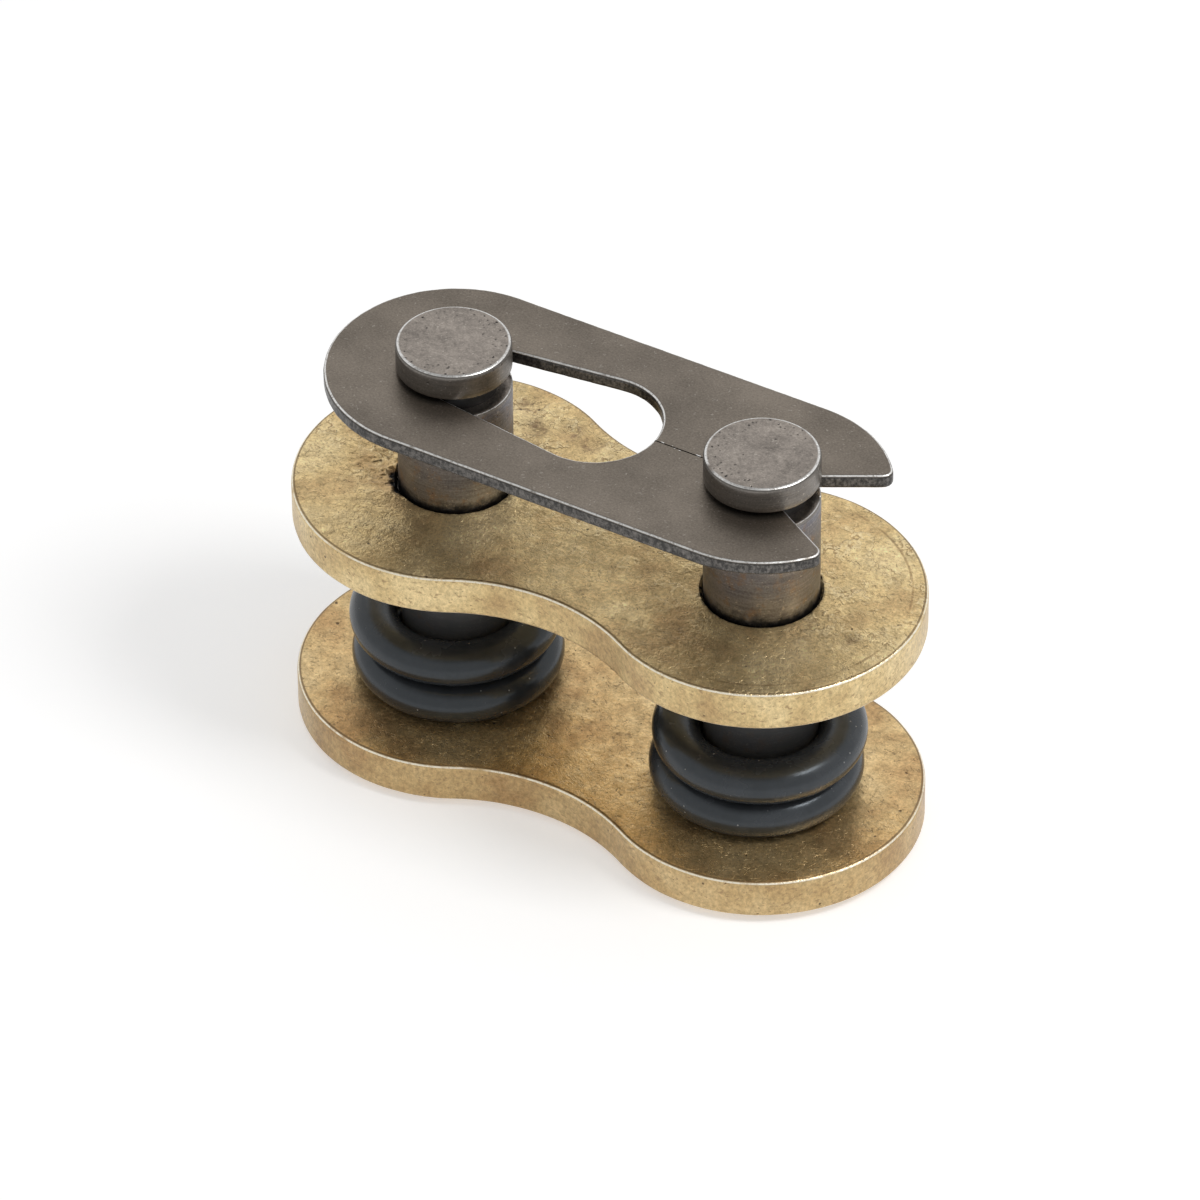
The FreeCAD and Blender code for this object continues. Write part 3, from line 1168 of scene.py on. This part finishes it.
    def band(self, value: NodeSocket, low: float, high: float, soft: float) -> NodeSocket:
        """Find where a value lies between two limits.

        Args:
            value: The value.
            low: The lower limit.
            high: The upper limit.
            soft: The width of the soft borders outside the limits.

        Returns:
            1 between the limits and 0 outside.
        """
        above = self.between(value, low - soft, low)
        return self.times(above, self.between(value, high + soft, high))

    def wear(self) -> NodeSocket:
        """Read a place's wear value, which is below zero where a hollow is darkened by painted
        shade and dirt.
        """
        return self.node("ShaderNodeAttribute", attribute_name=WEAR).outputs["Fac"]

    def rim(self, low: float, high: float) -> NodeSocket:
        """Find a line along the rounded edges by how level their rounding is there, for painted
        highlight and painted dark reflection lines.
        """
        edge = self.between(self.wear(), 0.05, 0.3)
        return self.times(edge, self.band(self.levelness, low, high, 0.05))

    def hollow_shade_and_grime(self, start: float, full: float) -> NodeSocket:
        """Find where a hollow is darkened, by painted shade and dirt, at least as darkly as the
        given limits.
        """
        return self.between(self.wear(), -start, -full)

    def worn_edge_highlight(self, span: float, low: float, high: float) -> NodeSocket:
        """Find the bright line along the rounded edges, in ragged stretches: wear to bare metal,
        and painted highlight on one band of the rounding's tilt.

        Args:
            span: How long a stretch is, roughly.
            low: How level the rounding is at the line's lower side, from 0 to 1.
            high: How level it is at the line's upper side.

        Returns:
            1 where the metal is bright and 0 elsewhere.
        """
        stretches = self.between(self.cloud(span, 2.0, 0.5), 0.26, 0.42)
        ragged = self.between(self.cloud(0.12, 2.0, 0.6), 0.3, 0.5, 0.35, 1.0)
        return self.times(self.rim(low, high), self.times(stretches, ragged))

    def relief(self, *layers: tuple[NodeSocket, float]) -> None:
        """Give the surface relief.

        Args:
            layers: Pairs of a height from 0 to 1 and what 1 rises, in millimetres.
        """
        normal: NodeSocket | None = None
        for height, depth in layers:
            inputs = {"Distance": abs(depth) * MM, "Height": height}
            if normal is not None:
                inputs["Normal"] = normal
            normal = self.node("ShaderNodeBump", inputs, invert=depth < 0).outputs["Normal"]
        self.feed(self.shader.inputs["Normal"], normal)

    def finish(self, colour: Wired, roughness: Wired, **others: Wired) -> Material:
        """Feed the shader and hand over the material.

        Args:
            colour: The base colour.
            roughness: The roughness.
            others: What feeds other shader sockets, with underlines for spaces in their names.

        Returns:
            The finished material.
        """
        for name, value in {"Base_Color": colour, "Roughness": roughness, **others}.items():
            self.feed(self.shader.inputs[name.replace("_", " ")], value)
        return self.material


@dataclass(frozen=True)
class GoldPlating:
    """Worn gold-coloured plating on tumbled steel."""

    name: str = "worn_gold_plating"
    bright: Colour = (0.94, 0.735, 0.395)
    plain: Colour = (0.82, 0.615, 0.305)
    brown: Colour = (0.63, 0.435, 0.21)
    # Darkens the walls below the flats: painted shade, varied by the shear grain.
    wall: float = 0.81
    fleck: Colour = (0.34, 0.23, 0.12)
    # Brown laid in the dents and the chip as painted shade.
    dent: Colour = (0.27, 0.17, 0.1)
    pit: Colour = (0.1, 0.065, 0.035)
    # Near-black laid round the bores and in the chip's middle: dirt with painted shade.
    grime_and_shade: Colour = (0.03, 0.028, 0.026)
    # Dark brown for the cracks in the plating and for the painted dark reflection line inside the
    # bright rim.
    dark_line_and_rim_shade: Colour = (0.2, 0.135, 0.075)
    # Pale gold for the bright rim line: wear to bare metal and painted highlight.
    worn_and_highlight: Colour = (0.97, 0.9, 0.74)
    # Brown laid as painted shadow beside the creases and as painted shade along the blanking arc.
    fold_shade: Colour = (0.32, 0.19, 0.085)
    # Pale gold laid as painted highlight beside the creases.
    gleam: Colour = (0.97, 0.79, 0.46)
    creased: float = 1.0
    roll_radius: float = 6.7
    # Radii where the dark ring round each bore is full and where it ends: dirt with painted shade.
    bore_grime_and_shade: tuple[float, float] = (2.76, 2.9)

    def make(self) -> Material:
        """Lay out the finish.

        Returns:
            The material.
        """
        bench = FinishBench(self.name)
        level = bench.between(bench.levelness, 0.35, 0.8)
        colour, creases = self.crease(bench, level, self.plating(bench, level))
        dents, folds = self.dents(bench, level)
        cracks = bench.sum(
            "MAXIMUM",
            bench.scratches(length=0.8, width=0.3, turn=28, fine=0.016, share=0.4),
            bench.scratches(length=0.7, width=0.26, turn=-31, fine=0.016, share=0.34),
        )
        cracks = bench.times(cracks, level)
        scratches = bench.scratches(length=2.4, width=0.3, turn=-12, fine=0.01, share=0.35)
        pits = bench.sum(
            "MAXIMUM",
            bench.dots(spacing=0.9, radius=0.085, share=0.3, ragged=0.05),
            bench.dots(spacing=0.35, radius=0.04, share=0.3, ragged=0.04),
        )
        full, none = self.bore_grime_and_shade
        at_bore = bench.between(bench.from_pin(), none, full)
        ragged = bench.between(bench.cloud(0.35, 3.0, 0.6), 0.42, 0.6)
        torn = bench.cloud(0.5, 4.0, 0.7, bench.bent(0.3, 0.7))
        colour = bench.coat(
            colour,
            (self.dark_line_and_rim_shade, cracks, 0.6),
            (self.bright, scratches, 0.35),
            (self.pit, pits, 0.85),
            # The dark ring round each bore, where the pin enters: dirt with painted shade.
            (self.grime_and_shade, at_bore, ragged),
            # Painted shade in the dents and the chip, darker towards each hollow's middle.
            (self.dent, bench.hollow_shade_and_grime(0.0, 0.3), bench.between(torn, 0.42, 0.58, 0.1, 0.8)),
            # The chip's darkest middle: dirt with painted shade.
            (self.grime_and_shade, bench.hollow_shade_and_grime(0.5, 0.8)),
            # Painted dark reflection line just inside the bright rim.
            (self.dark_line_and_rim_shade, bench.rim(0.87, 0.97), 0.75),
            # Bright rim line: wear to bare metal and painted highlight.
            (self.worn_and_highlight, bench.worn_edge_highlight(span=1.6, low=0.5, high=0.78)),
        )
        grain = bench.cloud(0.1, 3.0, 0.65)
        bench.relief(
            (dents, 0.025 + 0.02 * self.creased),
            (folds, 0.01 + 0.012 * self.creased),
            (creases, 0.028),
            (bench.times(grain, bench.between(level, 0.0, 1.0, 1.0, 0.5)), 0.018),
            (cracks, -0.01),
            (pits, -0.02),
        )
        roughness = bench.between(bench.cloud(1.2, 3.0, 0.6), 0.3, 0.7, 0.38, 0.3)
        return bench.finish(colour, roughness, Metallic=0.85)

    def plating(self, bench: FinishBench, level: NodeSocket) -> Wired:
        """Mix the plating's colour, cloudy on the flats and grainy on the walls, which are darkened
        as painted shade.

        Args:
            bench: The bench that the finish is laid out on.
            level: 1 on the flats and 0 on the walls.

        Returns:
            The colour.
        """
        blotches = bench.cloud(3.4, 5.0, 0.6)
        colour = bench.ramp(blotches, (0.36, self.brown), (0.5, self.plain), (0.64, self.bright))
        swirl = bench.cloud(0.8, 3.0, 0.6, bench.bent(0.5, 1.3))
        grain = bench.cloud(0.16, 4.0, 0.75)
        flat = bench.times(
            bench.between(swirl, 0.35, 0.65, 0.85, 1.15),
            bench.between(grain, 0.3, 0.7, 0.66, 1.28),
        )
        shear = bench.cloud(1.0, 4.0, 0.8, bench.stretched(bench.place, (0.18, 0.18, 0.22)))
        # The walls are darkened as painted shade, varied by the shear grain.
        wall = bench.between(shear, 0.36, 0.64, self.wall * 0.72, self.wall * 1.16)
        colour = bench.mix(1.0, colour, bench.mix(level, wall, flat), "MULTIPLY")
        slant = bench.stretched(bench.place, (0.32, 0.32, 0.16), (24, 18, 0))
        flecks = bench.between(bench.cloud(1.0, 3.0, 0.7, slant), 0.42, 0.35, 0.0, 0.8)
        return bench.coat(colour, (self.fleck, flecks, bench.between(level, 0.5, 0.0)))

    def crease(
        self, bench: FinishBench, level: NodeSocket, colour: NodeSocket
    ) -> tuple[Wired, NodeSocket]:
        """Lay sharp little creases into the flats, each with a painted shadow on one side and a
        painted highlight on the other.

        Args:
            bench: The bench that the finish is laid out on.
            level: 1 on the flats and 0 on the walls.
            colour: The plating's colour so far.

        Returns:
            The creased colour and the creases' height.
        """
        field = bench.cloud(0.9, 3.0, 0.6, bench.bent(0.3, 0.6))
        patches = bench.between(bench.cloud(1.7, 4.0, 0.65), 0.44, 0.57)
        far_side = bench.between(bench.across, -4.0, 0.5, 0.25 * self.creased, self.creased)
        strength = bench.times(patches, far_side, level)
        shadow = bench.times(bench.band(field, 0.48, 0.495, 0.02), 0.72)
        gleam = bench.times(bench.band(field, 0.515, 0.54, 0.025), 0.75)
        colour = bench.coat(
            colour,
            (self.fold_shade, shadow, strength),
            (self.gleam, gleam, strength),
            (self.fold_shade, self.rolled_line_shade(bench, level)),
        )
        return colour, bench.times(bench.between(field, 0.45, 0.55), strength)

    def rolled_line_shade(self, bench: FinishBench, level: NodeSocket) -> NodeSocket:
        """Find the faint broken arc that blanking leaves inside the rim of pin B's end, laid as a
        line of painted shade.

        Args:
            bench: The bench that the finish is laid out on.
            level: 1 on the flats and 0 on the walls.

        Returns:
            How strongly the arc shows.
        """
        arc = bench.band(bench.from_pin(), self.roll_radius, self.roll_radius + 0.05, 0.05)
        at_end = bench.between(bench.along, 7.5, 10.0, 0.0, self.creased)
        broken = bench.between(bench.cloud(1.3, 3.0, 0.6), 0.4, 0.56, 0.1, 0.6)
        return bench.times(arc, broken, bench.times(at_end, level))

    def dents(self, bench: FinishBench, level: NodeSocket) -> tuple[NodeSocket, NodeSocket]:
        """Lay out the flats' shallow dents and crumpled folds, stronger in some patches.

        Args:
            bench: The bench that the finish is laid out on.
            level: 1 on the flats and 0 on the walls.

        Returns:
            The dents' height and the folds' height.
        """
        patches = bench.between(bench.cloud(3.2, 2.0, 0.5), 0.4, 0.56, 0.4, 1.0)
        strength = bench.times(patches, level)
        waves = bench.cloud(0.9, 2.0, 0.45, bench.bent(0.25, 1.1))
        folds = bench.ridges(0.55, bench.bent(0.2, 0.6))
        return bench.times(waves, strength), bench.times(folds, strength)


@dataclass(frozen=True)
class PinSteel:
    """Ground and hardened steel, darkened, with bright rims of wear and painted highlight, and dark
    feet of dirt and painted shade.
    """

    name: str = "darkened_pin_steel"
    light: Colour = (0.385, 0.34, 0.3)
    dark: Colour = (0.165, 0.147, 0.13)
    side_light: Colour = (0.27, 0.245, 0.22)
    side_dark: Colour = (0.14, 0.13, 0.118)
    shaft_light: Colour = (0.26, 0.252, 0.27)
    shaft_dark: Colour = (0.12, 0.118, 0.131)
    rust: Colour = (0.25, 0.165, 0.105)
    mark: Colour = (0.55, 0.5, 0.44)
    pit: Colour = (0.045, 0.04, 0.036)
    # Near-black laid at the shafts' feet, as dirt with painted shade, and in the grooves, as
    # painted shade.
    grime_and_shade: Colour = (0.02, 0.021, 0.023)
    grease: Colour = (0.062, 0.065, 0.066)
    # Near-white for the heads' bright rim line: wear and painted highlight.
    worn_and_highlight: Colour = (0.86, 0.85, 0.83)
    neck: float = 18.5
    plate_top: float = 13.32
    plate_underside: float = 11.3

    def make(self) -> Material:
        """Lay out the finish.

        Returns:
            The material.
        """
        bench = FinishBench(self.name)
        level = bench.between(bench.levelness, 0.5, 0.9)
        head = bench.between(bench.height, self.neck - 0.1, self.neck + 0.1)
        lines = bench.cloud(1.0, 3.0, 0.6, bench.stretched(bench.place, (2.5, 2.5, 0.1)))
        grain = bench.cloud(0.09, 3.0, 0.65)
        turned = bench.mix(0.5, lines, grain)
        patches = bench.cloud(1.3, 3.0, 0.5)
        fine = bench.mix(0.5, bench.cloud(0.3, 4.0, 0.65), grain)
        shade = bench.mix(0.75, patches, bench.mix(level, turned, fine))
        pits = self.pits(bench, bench.times(level, head), patches)
        greasy = self.greasy(bench)
        marks = bench.scratches(length=0.4, width=0.25, turn=24, fine=0.03, share=0.22)
        # Painted shade on the upright sides inside the clip grooves.
        groove_shade = bench.between(bench.from_pin(), 2.55, 2.3, 0.0, 0.94)
        colour = bench.coat(
            self.steel(bench, shade, level, head),
            (self.pit, pits),
            (self.mark, marks, 0.6),
            # Dirt with painted shade at each shaft's foot.
            (self.grime_and_shade, self.foot_grime_and_shade(bench)),
            # Painted shade in the grooves.
            (self.grime_and_shade, groove_shade, bench.sum("SUBTRACT", 1.0, level)),
            # Painted dark reflection line on the heads' rims.
            (self.side_dark, bench.rim(0.5, 0.72)),
            # Bright rim line on the heads: wear and painted highlight.
            (self.worn_and_highlight, bench.worn_edge_highlight(span=1.2, low=0.76, high=0.95)),
            (self.grease, greasy),
        )
        height = bench.mix(level, turned, grain)
        bench.relief((patches, 0.012), (height, 0.008), (pits, -0.02))
        rough = bench.sum(
            "ADD",
            bench.between(patches, 0.3, 0.7, 0.38, 0.28),
            bench.between(bench.sum("MAXIMUM", level, greasy), 0.0, 1.0, 0.1, 0.0),
        )
        return bench.finish(colour, rough, Metallic=bench.between(greasy, 0.0, 1.0, 1.0, 0.1))

    def steel(
        self, bench: FinishBench, shade: NodeSocket, level: NodeSocket, head: NodeSocket
    ) -> NodeSocket:
        """Mix the steel's colour on the heads' faces, their darker sides and the shafts.

        Args:
            bench: The bench that the finish is laid out on.
            shade: How light the steel is, about 0.5.
            level: 1 on the faces and 0 on the sides.
            head: 1 on the heads and 0 on the shafts.

        Returns:
            The colour.
        """
        face_colour = bench.ramp(shade, (0.36, self.dark), (0.64, self.light))
        side_colour = bench.ramp(shade, (0.36, self.side_dark), (0.64, self.side_light))
        head_colour = bench.mix(level, side_colour, face_colour)
        shaft_colour = bench.ramp(shade, (0.38, self.shaft_dark), (0.62, self.shaft_light))
        rust = bench.between(bench.cloud(0.8, 4.0, 0.7), 0.54, 0.66, 0.0, 0.6)
        return bench.mix(head, bench.mix(rust, shaft_colour, self.rust), head_colour)

    def pits(self, bench: FinishBench, face: NodeSocket, patches: NodeSocket) -> NodeSocket:
        """Scatter fine pits near the faces' rims, and a few specks all over.

        Args:
            bench: The bench that the finish is laid out on.
            face: 1 on the heads' faces and 0 elsewhere.
            patches: The cloudy patches that the fine pits keep to.

        Returns:
            1 in a pit and 0 outside.
        """
        near_rim = bench.between(bench.from_pin(), 1.5, 2.1)
        fine = bench.dots(spacing=0.22, radius=0.065, share=0.6, ragged=0.04)
        fine = bench.times(fine, near_rim, face, bench.between(patches, 0.42, 0.5))
        specks = bench.dots(spacing=0.6, radius=0.075, share=0.35, ragged=0.06)
        return bench.sum("MAXIMUM", fine, bench.times(specks, 0.6))

    def greasy(self, bench: FinishBench) -> NodeSocket:
        """Find the smeared grease on the shafts below the loose plate.

        Args:
            bench: The bench that the finish is laid out on.

        Returns:
            How thickly the grease lies, from 0 to 1.
        """
        smears = bench.cloud(1.0, 4.0, 0.65, bench.stretched(bench.place, (1.6, 1.6, 0.7)))
        above = bench.sum("ADD", bench.height, bench.between(smears, 0.3, 0.7, -0.4, 0.4))
        below = bench.between(above, self.plate_top - 0.4, self.plate_underside + 0.2)
        return bench.times(below, bench.between(smears, 0.34, 0.56, 1.0, 0.62))

    def foot_grime_and_shade(self, bench: FinishBench) -> NodeSocket:
        """Find the ragged dark line that each shaft has at the loose plate, fading downwards: dirt
        with painted shade where the shaft meets the plate.

        Args:
            bench: The bench that the finish is laid out on.

        Returns:
            How dark the line is, from 0 to 1.
        """
        ragged = bench.between(bench.cloud(0.5, 4.0, 0.65), 0.3, 0.7, -0.1, 0.45)
        above = bench.sum("SUBTRACT", bench.sum("SUBTRACT", bench.height, self.plate_top), ragged)
        edge = bench.between(above, 0.35, -0.1, 0.0, 0.85)
        return bench.times(edge, bench.between(above, -1.8, -0.3, 0.2, 1.0))


@dataclass(frozen=True)
class ClipSteel:
    """Dull grey-brown spring steel with bright, ragged edges of wear and painted highlight."""

    name: str = "dull_clip_steel"
    light: Colour = (0.258, 0.222, 0.184)
    dark: Colour = (0.148, 0.127, 0.105)
    wall_dark: Colour = (0.055, 0.053, 0.051)
    wall_light: Colour = (0.22, 0.205, 0.19)
    mark: Colour = (0.42, 0.385, 0.34)
    # Dark for the painted dark reflection line along the clip's rims.
    dark_line_and_rim_shade: Colour = (0.05, 0.048, 0.045)
    # Near-white for the bright rim line and the slit's painted glints.
    worn_and_highlight: Colour = (0.9, 0.89, 0.87)
    slit_along: tuple[float, float] = (2.5, 5.8)
    slit_rims: tuple[float, float] = (0.02, 0.07)

    def make(self) -> Material:
        """Lay out the finish.

        Returns:
            The material.
        """
        bench = FinishBench(self.name)
        level = bench.between(bench.levelness, 0.3, 0.7)
        clouds = bench.cloud(3.0, 5.0, 0.55)
        grain = bench.cloud(0.1, 3.0, 0.7)
        marks = bench.sum(
            "MAXIMUM",
            bench.scratches(length=0.7, width=0.35, turn=18, fine=0.02, share=0.14),
            bench.scratches(length=0.5, width=0.3, turn=62, fine=0.02, share=0.1),
        )
        shade = bench.mix(0.6, clouds, grain)
        flat = bench.ramp(shade, (0.36, self.dark), (0.64, self.light))
        flat = bench.coat(flat, (self.mark, marks, 0.75))
        shear = bench.cloud(1.0, 4.0, 0.7, bench.stretched(bench.place, (0.16, 0.16, 0.22)))
        wall = bench.ramp(shear, (0.42, self.wall_dark), (0.74, self.wall_light))
        colour = bench.coat(
            bench.mix(level, wall, flat),
            # Painted dark reflection line along the rims' rounding.
            (self.dark_line_and_rim_shade, bench.rim(0.3, 0.42)),
            # Bright rim line: wear to bare metal and painted highlight.
            (self.worn_and_highlight, bench.worn_edge_highlight(span=1.4, low=0.7, high=0.92)),
            # Painted glints along the slit's edges.
            (self.worn_and_highlight, self.slit_glints(bench)),
        )
        bench.relief((bench.mix(level, shear, grain), 0.008), (marks, 0.004))
        return bench.finish(colour, bench.between(clouds, 0.3, 0.7, 0.42, 0.36), Metallic=1.0)

    def slit_glints(self, bench: FinishBench) -> NodeSocket:
        """Find the short bright dashes along the slit's edges, which are painted glints.

        Args:
            bench: The bench that the finish is laid out on.

        Returns:
            1 on a dash and 0 elsewhere.
        """
        along = bench.band(bench.along, *self.slit_along, 0.02)
        across = bench.band(bench.sum("ABSOLUTE", bench.across), *self.slit_rims, 0.01)
        dashes = bench.between(bench.cloud(0.3, 1.0, 0.5), 0.58, 0.62)
        return bench.times(dashes, bench.times(along, across))


@dataclass(frozen=True)
class RingRubber:
    """Smooth moulded black rubber with a little dust."""

    name: str = "black_ring_rubber"
    black: Colour = (0.024, 0.0262, 0.029)
    bloom: Colour = (0.037, 0.0398, 0.0445)
    sheen: Colour = (0.84, 0.93, 1.0)
    dust: Colour = (0.4, 0.39, 0.37)

    def make(self) -> Material:
        """Lay out the finish.

        Returns:
            The material.
        """
        bench = FinishBench(self.name)
        haze = bench.cloud(1.4, 3.0, 0.6)
        colour = bench.ramp(haze, (0.4, self.black), (0.7, self.bloom))
        specks = bench.dots(spacing=0.45, radius=0.045, share=0.4, ragged=0.0)
        colour = bench.coat(colour, (self.dust, specks, 0.8))
        bench.relief((bench.cloud(0.25, 3.0, 0.6), 0.004))
        roughness = bench.between(haze, 0.35, 0.7, 0.2, 0.3)
        return bench.finish(colour, roughness, Specular_IOR_Level=0.55, Specular_Tint=self.sheen)


@dataclass(frozen=True)
class Softbox:
    """A square lamp that faces the link. Its angles are in degrees, its sizes in millimetres."""

    name: str
    azimuth: float
    elevation: float
    distance: float
    width: float
    watts: float


@dataclass(frozen=True)
class Studio:
    """The pale floor, the soft light and the camera at the photo's viewing angle."""

    camera_azimuth: float = 30.866
    camera_elevation: float = 39.616
    camera_roll: float = -0.4524
    camera_distance: float = 450.37
    aim: Triple = (0, 0, 10.35)
    aim_right: float = 0.3669
    aim_up: float = 0.8035
    pixels_per_mm: float = 22.2442
    photo_pixels: int = 1200
    sensor: float = 36.0
    floor_size: float = 4.0
    floor_colour: Colour = (0.8, 0.8, 0.8)
    floor_glow: float = 0.42
    ambient: float = 0.62
    reflected_zenith: float = 0.35
    zenith_start: float = 0.66
    zenith_end: float = 0.92
    softboxes: tuple[Softbox, ...] = (
        Softbox("key_softbox", 97, 56, 260, 84, 0.26),
        Softbox("back_softbox", 215, 46, 320, 200, 0.04),
    )

    def set_up(self) -> None:
        """Make the floor, the world, the lamps and the camera."""
        self.lay_floor()
        self.light_world()
        for softbox in self.softboxes:
            self.hang(softbox)
        self.place_camera()

    @staticmethod
    def towards(azimuth: float, elevation: float) -> Vector:
        """Point from the link to a viewpoint.

        Args:
            azimuth: The viewpoint's azimuth in degrees, from -Y towards +X.
            elevation: Its elevation in degrees.

        Returns:
            The direction, one long.
        """
        turn = math.radians(azimuth)
        lift = math.radians(elevation)
        flat = math.cos(lift)
        return Vector((math.sin(turn) * flat, -math.cos(turn) * flat, math.sin(lift)))

    def lay_floor(self) -> None:
        """Lay the pale floor level with the pins' lower ends."""
        mesh = bmesh.new()
        bmesh.ops.create_grid(mesh, x_segments=1, y_segments=1, size=self.floor_size / 2)
        floor = show("studio_floor", data_of(mesh, "studio_floor"))
        floor.data.materials.append(self.floor_material())

    def floor_material(self) -> Material:
        """Make the floor's material, which seems white where it is seen or reflected.

        Returns:
            The material.
        """
        material = bpy.data.materials.new("pale_floor")
        wiring = Wiring.cleared(material)
        card = wiring.node("ShaderNodeBsdfDiffuse", {"Color": self.floor_colour})
        glow = wiring.node("ShaderNodeEmission", {"Strength": wiring.seen(self.floor_glow)})
        both = wiring.node("ShaderNodeAddShader", {0: card.outputs[0], 1: glow.outputs[0]})
        wiring.node("ShaderNodeOutputMaterial", {"Surface": both.outputs[0]})
        return material

    def light_world(self) -> None:
        """Surround the link with a pale tent, a little darker overhead in reflections."""
        world = bpy.data.worlds.new("studio_tent")
        bpy.context.scene.world = world
        wiring = Wiring.cleared(world)
        height = wiring.split(wiring.node("ShaderNodeTexCoord").outputs["Generated"])[2]
        shade = wiring.between(
            height, self.zenith_start, self.zenith_end, 1.0, self.reflected_zenith
        )
        tent = wiring.node("ShaderNodeBackground", {"Strength": shade})
        soft = wiring.node("ShaderNodeBackground", {"Strength": self.ambient})
        inputs = {0: wiring.seen(1.0), 1: soft.outputs[0], 2: tent.outputs[0]}
        choice = wiring.node("ShaderNodeMixShader", inputs)
        wiring.node("ShaderNodeOutputWorld", {"Surface": choice.outputs[0]})

    def hang(self, softbox: Softbox) -> None:
        """Hang a softbox so that it faces the link.

        Args:
            softbox: The softbox.
        """
        data = bpy.data.lights.new(softbox.name, "AREA")
        data.shape = "SQUARE"
        data.size = softbox.width * MM
        data.energy = softbox.watts
        lamp = show(softbox.name, data)
        away = self.towards(softbox.azimuth, softbox.elevation)
        lamp.location = Vector(self.aim) * MM + away * softbox.distance * MM
        lamp.rotation_euler = away.to_track_quat("Z", "Y").to_euler()

    def place_camera(self) -> None:
        """Set the camera where the photo was taken from."""
        back = self.towards(self.camera_azimuth, self.camera_elevation)
        level = UP.cross(back).normalized()
        upright = back.cross(level)
        roll = math.radians(self.camera_roll)
        right = level * math.cos(roll) + upright * math.sin(roll)
        up = upright * math.cos(roll) - level * math.sin(roll)
        aim = Vector(self.aim) - right * self.aim_right - up * self.aim_up
        data = bpy.data.cameras.new("photo_camera")
        data.sensor_width = self.sensor
        data.lens = self.sensor * self.pixels_per_mm * self.camera_distance / self.photo_pixels
        data.clip_start = self.camera_distance * MM / 10
        data.clip_end = self.camera_distance * MM * 20
        camera = show("photo_camera", data)
        axes = Matrix((right, up, back)).transposed().to_4x4()
        camera.matrix_world = Matrix.Translation((aim + back * self.camera_distance) * MM) @ axes
        bpy.context.scene.camera = camera


def main() -> None:
    """Build every piece of the link, then the studio round it."""
    logging.basicConfig(level=logging.INFO, format="%(name)s: %(message)s")
    plating = GoldPlating().make()
    # The fixed plate's plating: browner in tone, and darker overall as painted shade.
    shaded_brown_plating = GoldPlating(
        name="shaded_brown_gold_plating",
        bright=(0.84, 0.63, 0.335),
        plain=(0.73, 0.52, 0.255),
        brown=(0.58, 0.375, 0.175),
        wall=0.77,
        creased=0.15,
    ).make()
    pin_steel = PinSteel().make()
    rubber = RingRubber().make()
    clip_steel = ClipSteel().make()
    LinkPlate("base_plate", Body.PINNED, seed=1.3).install(shaded_brown_plating)
    LinkPlate(
        "outer_plate",
        Body.LOOSE,
        bore_clearance=0.05,
        bore_chamfer=0.12,
        chipped=True,
        seed=7.9,
    ).install(plating)
    for node, seed in (("pin_a", 2.2), ("pin_b", 5.1)):
        ConnectingPin(node, seed).install(pin_steel)
    rings = ("o_ring_a_lower", "o_ring_a_upper", "o_ring_b_lower", "o_ring_b_upper")
    for node, seed in zip(rings, (6.8, 8.5, 10.2, 11.9)):
        SealingRing(node, seed).install(rubber)
    SpringClip().install(clip_steel)
    Studio().set_up()
    bpy.context.scene.view_settings.view_transform = "Standard"


if __name__ == "__main__":
    main()
